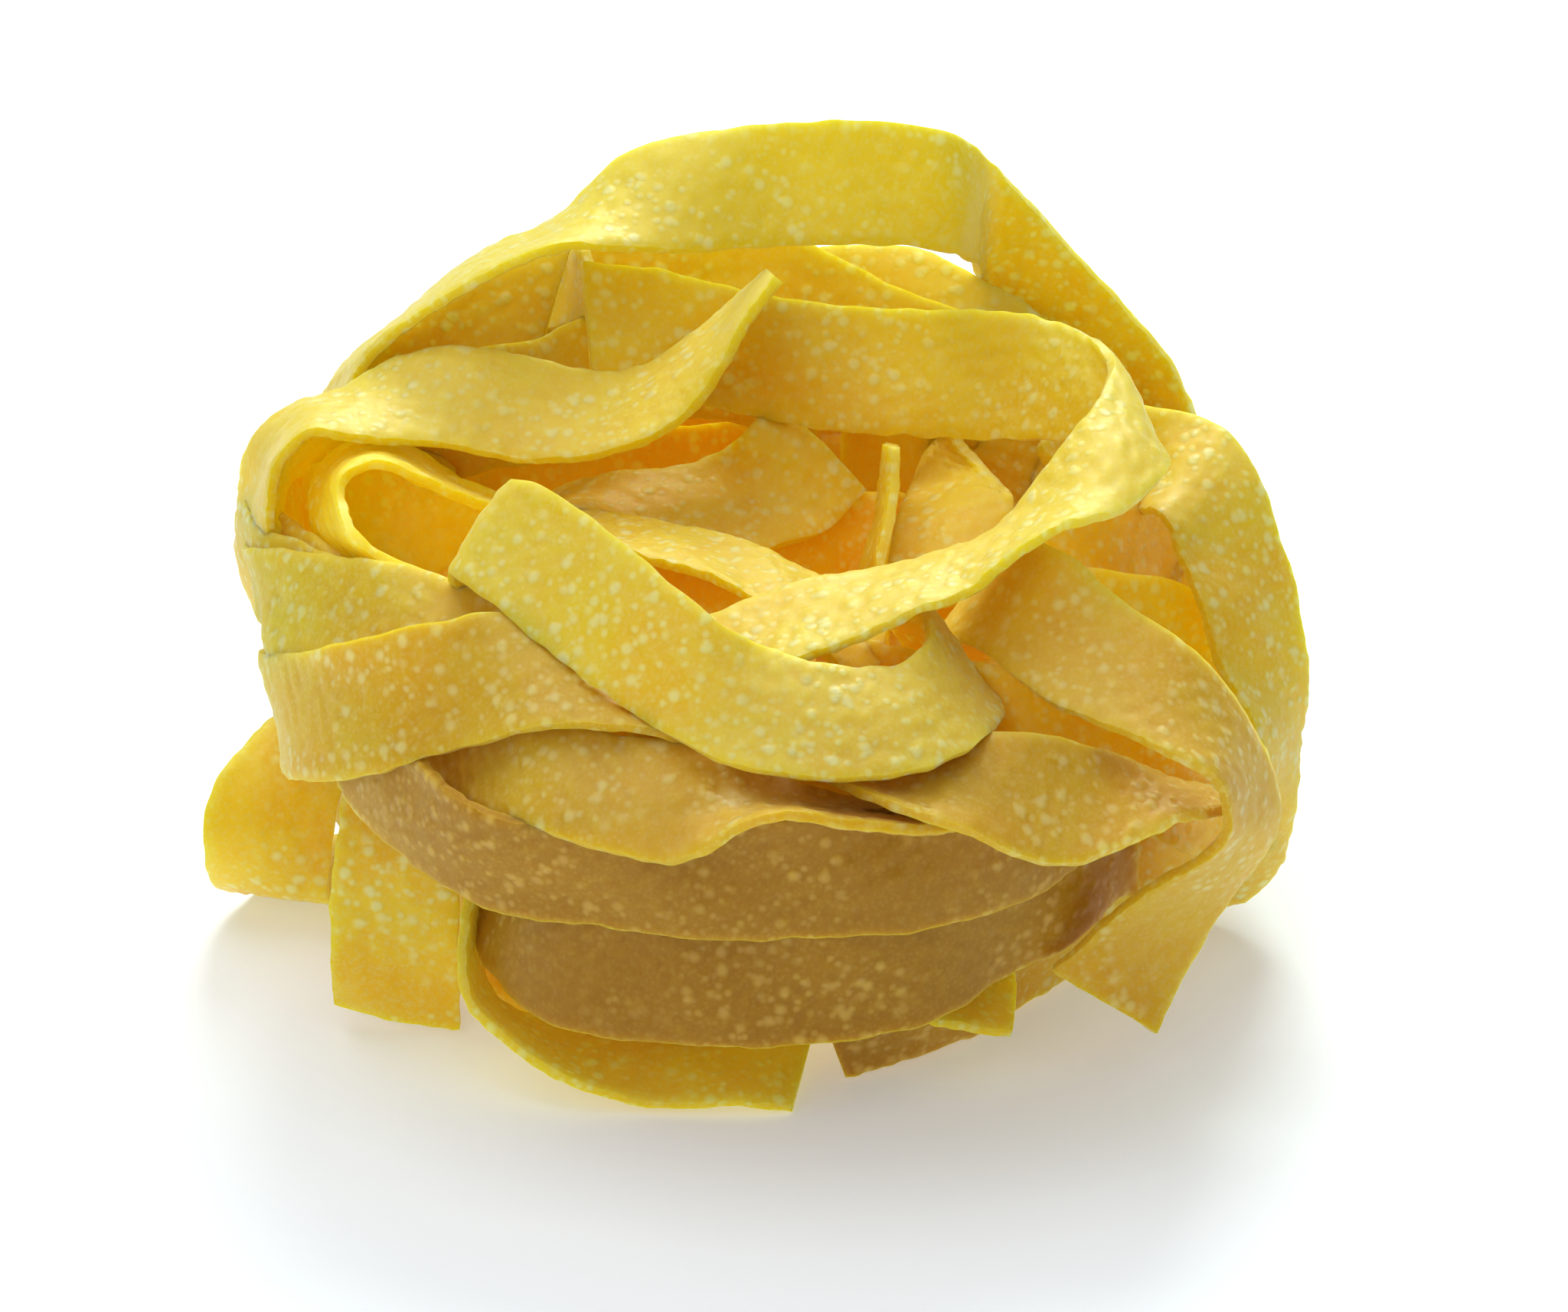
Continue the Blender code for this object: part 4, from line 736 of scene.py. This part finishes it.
def pasta_material(name, painted_shade_share, painted_glow):
    """Dried egg pasta: golden, translucent and floury, with pale round blisters in and on the dough.
    It has painted light, paler where it faces up and yellower towards the top. Its front can take painted
    shade, a darker gold, for the shade that the front ribbons stand in.
    It can have a painted glow, for the light that comes through many layers or up from the floor."""
    material = bpy.data.materials.new(name)
    material.use_nodes = True
    tree = material.node_tree
    surface = tree.nodes["Principled BSDF"]
    place = add_node(tree, "ShaderNodeTexCoord").outputs["Object"]
    crowds = add_node(tree, "ShaderNodeTexNoise", {"Vector": place, "Scale": CROWD_SCALE, "Detail": 1.0})
    crowded = ramp(tree, crowds.outputs["Fac"], 0.30, 0.54)
    large = product(tree, blister_spots(tree, place, *LARGE_BLISTERS), crowded)
    middling = product(tree, blister_spots(tree, place, *MIDDLING_BLISTERS), crowded)
    small = blister_spots(tree, place, *SMALL_BLISTERS)
    cloud = add_node(tree, "ShaderNodeTexNoise", {
        "Vector": place, "Scale": CLOUD_SCALE, "Detail": 2.0, "Roughness": 0.6,
    })
    grain = add_node(tree, "ShaderNodeTexNoise", {
        "Vector": place, "Scale": GRAIN_SCALE, "Detail": 3.0, "Roughness": 0.65,
    })
    color = mixed(tree, ramp(tree, cloud.outputs["Fac"], 0.35, 0.68), DOUGH_DEEP, DOUGH_LIGHT)
    # Painted light: yellower towards the top, where the light from above and behind falls
    level = add_node(tree, "ShaderNodeSeparateXYZ", {"Vector": place}).outputs["Z"]
    high = product(tree, ramp(tree, level, PAINTED_LIT_TOP_FROM, PAINTED_LIT_TOP_TO), PAINTED_LIT_TOP_SHARE)
    color = mixed(tree, high, color, DOUGH_PAINTED_LIT_TOP)
    spot = DOUGH_SPOT
    # Painted shade: the front turns a darker gold towards -Y, where it stands in shade
    if painted_shade_share:
        depth = add_node(tree, "ShaderNodeSeparateXYZ", {"Vector": place}).outputs["Y"]
        front = product(tree, ramp(tree, depth, PAINTED_SHADE_FROM, PAINTED_SHADE_TO), painted_shade_share)
        color = mixed(tree, front, color, PAINTED_SHADE)
        spot = mixed(tree, front, DOUGH_SPOT, PAINTED_SHADE_SPOT)
    floury = ramp(tree, grain.outputs["Fac"], 0.42, 0.72)
    # Painted light: paler where the surface faces up, for the light from above
    normal = add_node(tree, "ShaderNodeNewGeometry").outputs["Normal"]
    painted_upward_light = ramp(tree, add_node(tree, "ShaderNodeSeparateXYZ", {"Vector": normal}).outputs["Z"], 0.2, 0.9)
    for amount, share in (
        (painted_upward_light, PAINTED_UPWARD_LIGHT_SHARE), (floury, FLOURY_SHARE),
        (small, SMALL_SHARE), (middling, MIDDLING_SHARE), (large, LARGE_SHARE),
    ):
        color = mixed(tree, product(tree, amount, share), color, spot)
    tree.links.new(color, surface.inputs["Base Color"])
    height = product(tree, large, LARGE_RISE, product(tree, middling, MIDDLING_RISE))
    bump = add_node(tree, "ShaderNodeBump", {
        "Height": height, "Strength": BUMP_STRENGTH, "Distance": BUMP_DEPTH,
    })
    tree.links.new(bump.outputs["Normal"], surface.inputs["Normal"])
    rough = add_node(tree, "ShaderNodeMapRange", {
        "Value": grain.outputs["Fac"], "From Min": 0.3, "From Max": 0.7,
        "To Min": ROUGHNESS_LOWEST, "To Max": ROUGHNESS_HIGHEST,
    })
    tree.links.new(rough.outputs["Result"], surface.inputs["Roughness"])
    surface.inputs["Subsurface Weight"].default_value = 1.0
    surface.inputs["Subsurface Radius"].default_value = LIGHT_DEPTH_SHARES
    surface.inputs["Subsurface Scale"].default_value = LIGHT_DEPTH
    surface.inputs["Specular IOR Level"].default_value = 0.5
    # Painted glow, for the light that comes through the dough's layers or up from the floor
    if painted_glow:
        surface.inputs["Emission Color"].default_value = painted_glow
        surface.inputs["Emission Strength"].default_value = 1.0
    else:
        sheen = SHEEN_PLAIN - SHEEN_LOST_WHEN_PAINTED_SHADE * painted_shade_share
        surface.inputs["Sheen Weight"].default_value = sheen
        surface.inputs["Sheen Roughness"].default_value = 0.5
        surface.inputs["Sheen Tint"].default_value = SHEEN_TINT
    return material


def floor_material():
    """A plain pale floor, half matt, with a trace of unevenness."""
    material = bpy.data.materials.new("pale_floor")
    material.use_nodes = True
    tree = material.node_tree
    surface = tree.nodes["Principled BSDF"]
    place = add_node(tree, "ShaderNodeTexCoord").outputs["Object"]
    cloud = add_node(tree, "ShaderNodeTexNoise", {"Vector": place, "Scale": 6.0, "Detail": 2.0})
    color = mixed(tree, cloud.outputs["Fac"], FLOOR_DARK, FLOOR_PALE)
    tree.links.new(color, surface.inputs["Base Color"])
    surface.inputs["Roughness"].default_value = 0.6
    surface.inputs["Specular IOR Level"].default_value = 0.2
    surface.inputs["Emission Color"].default_value = FLOOR_GLOW
    surface.inputs["Emission Strength"].default_value = FLOOR_GLOW_STRENGTH
    return material


def area_light(name, place, aim_height, size, power, color):
    """A square soft light at a place, turned to a height on the nest's axis."""
    data = bpy.data.lights.new(name, "AREA")
    data.shape = "SQUARE"
    data.size = size
    data.energy = power
    data.color = color
    light = bpy.data.objects.new(name, data)
    light.location = place
    aim = Vector((0.0, 0.0, aim_height))
    light.rotation_euler = (aim - light.location).to_track_quat("-Z", "Y").to_euler()
    bpy.context.scene.collection.objects.link(light)


# The ribbons and the core, which stand for the solid
materials = {name: pasta_material(name, *settings) for name, settings in MATERIALS.items()}
generator = np.random.default_rng(SEED)
pieces = []
for group_name, group in SHOWN_RIBBONS.items():
    laid = [[rung_points(rung) for rung in ribbon] for ribbon in group]
    shapes = [ribbon_shape(rungs, MESH_PITCH, generator) for rungs in laid]
    pieces.append(joined_object(group_name, shapes))
wound = [wound_rungs(*ribbon, phase) for ribbon, phase in zip(WOUND_RIBBONS, WOUND_PHASES)]
shapes = [ribbon_shape(rungs, COARSE_PITCH, generator) for rungs in wound]
for number, members in enumerate(WOUND_PIECES):
    pieces.append(joined_object(f"wound_ribbons_{number}", [shapes[member] for member in members]))
pieces.append(make_core("core"))
for piece in pieces:
    piece.data.materials.append(materials[MATERIAL_OF.get(piece.name, "egg_pasta")])
    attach(piece, "root")
    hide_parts("pasta_nest")

# Floor, light and camera
floor_mesh = bpy.data.meshes.new("floor")
floor_mesh.from_pydata(
    [(x * FLOOR_SIDE / 2, y * FLOOR_SIDE / 2, 0.0) for x, y in ((-1, -1), (1, -1), (1, 1), (-1, 1))],
    [], [(0, 1, 2, 3)],
)
floor = bpy.data.objects.new("floor", floor_mesh)
floor.data.materials.append(floor_material())
bpy.context.scene.collection.objects.link(floor)

world = bpy.data.worlds.new("studio")
world.use_nodes = True
sky = world.node_tree
direction = add_node(sky, "ShaderNodeTexCoord").outputs["Generated"]
height = add_node(sky, "ShaderNodeSeparateXYZ", {"Vector": direction}).outputs["Z"]
sky_color = mixed(sky, ramp(sky, height, SKY_FROM, SKY_TO), SKY_LOW, SKY_HIGH)
sky.links.new(sky_color, sky.nodes["Background"].inputs["Color"])
bpy.context.scene.world = world
for light_name, light_settings in LIGHTS.items():
    area_light(light_name, *light_settings)

view_middle = (VIEW_CENTRE - BOX_MIDDLE) * MM
towards_camera = Vector((0.0, -math.cos(VIEW_TILT), math.sin(VIEW_TILT)))
camera_data = bpy.data.cameras.new("camera")
camera_data.lens = LENS
camera_data.sensor_width = SENSOR_WIDTH
camera = bpy.data.objects.new("camera", camera_data)
camera.location = view_middle + towards_camera * VIEW_DISTANCE * MM
camera.rotation_euler = (-towards_camera).to_track_quat("-Z", "Y").to_euler()
bpy.context.scene.collection.objects.link(camera)
bpy.context.scene.camera = camera
bpy.context.scene.view_settings.view_transform = "Standard"
bpy.context.scene.view_settings.look = "Medium High Contrast"
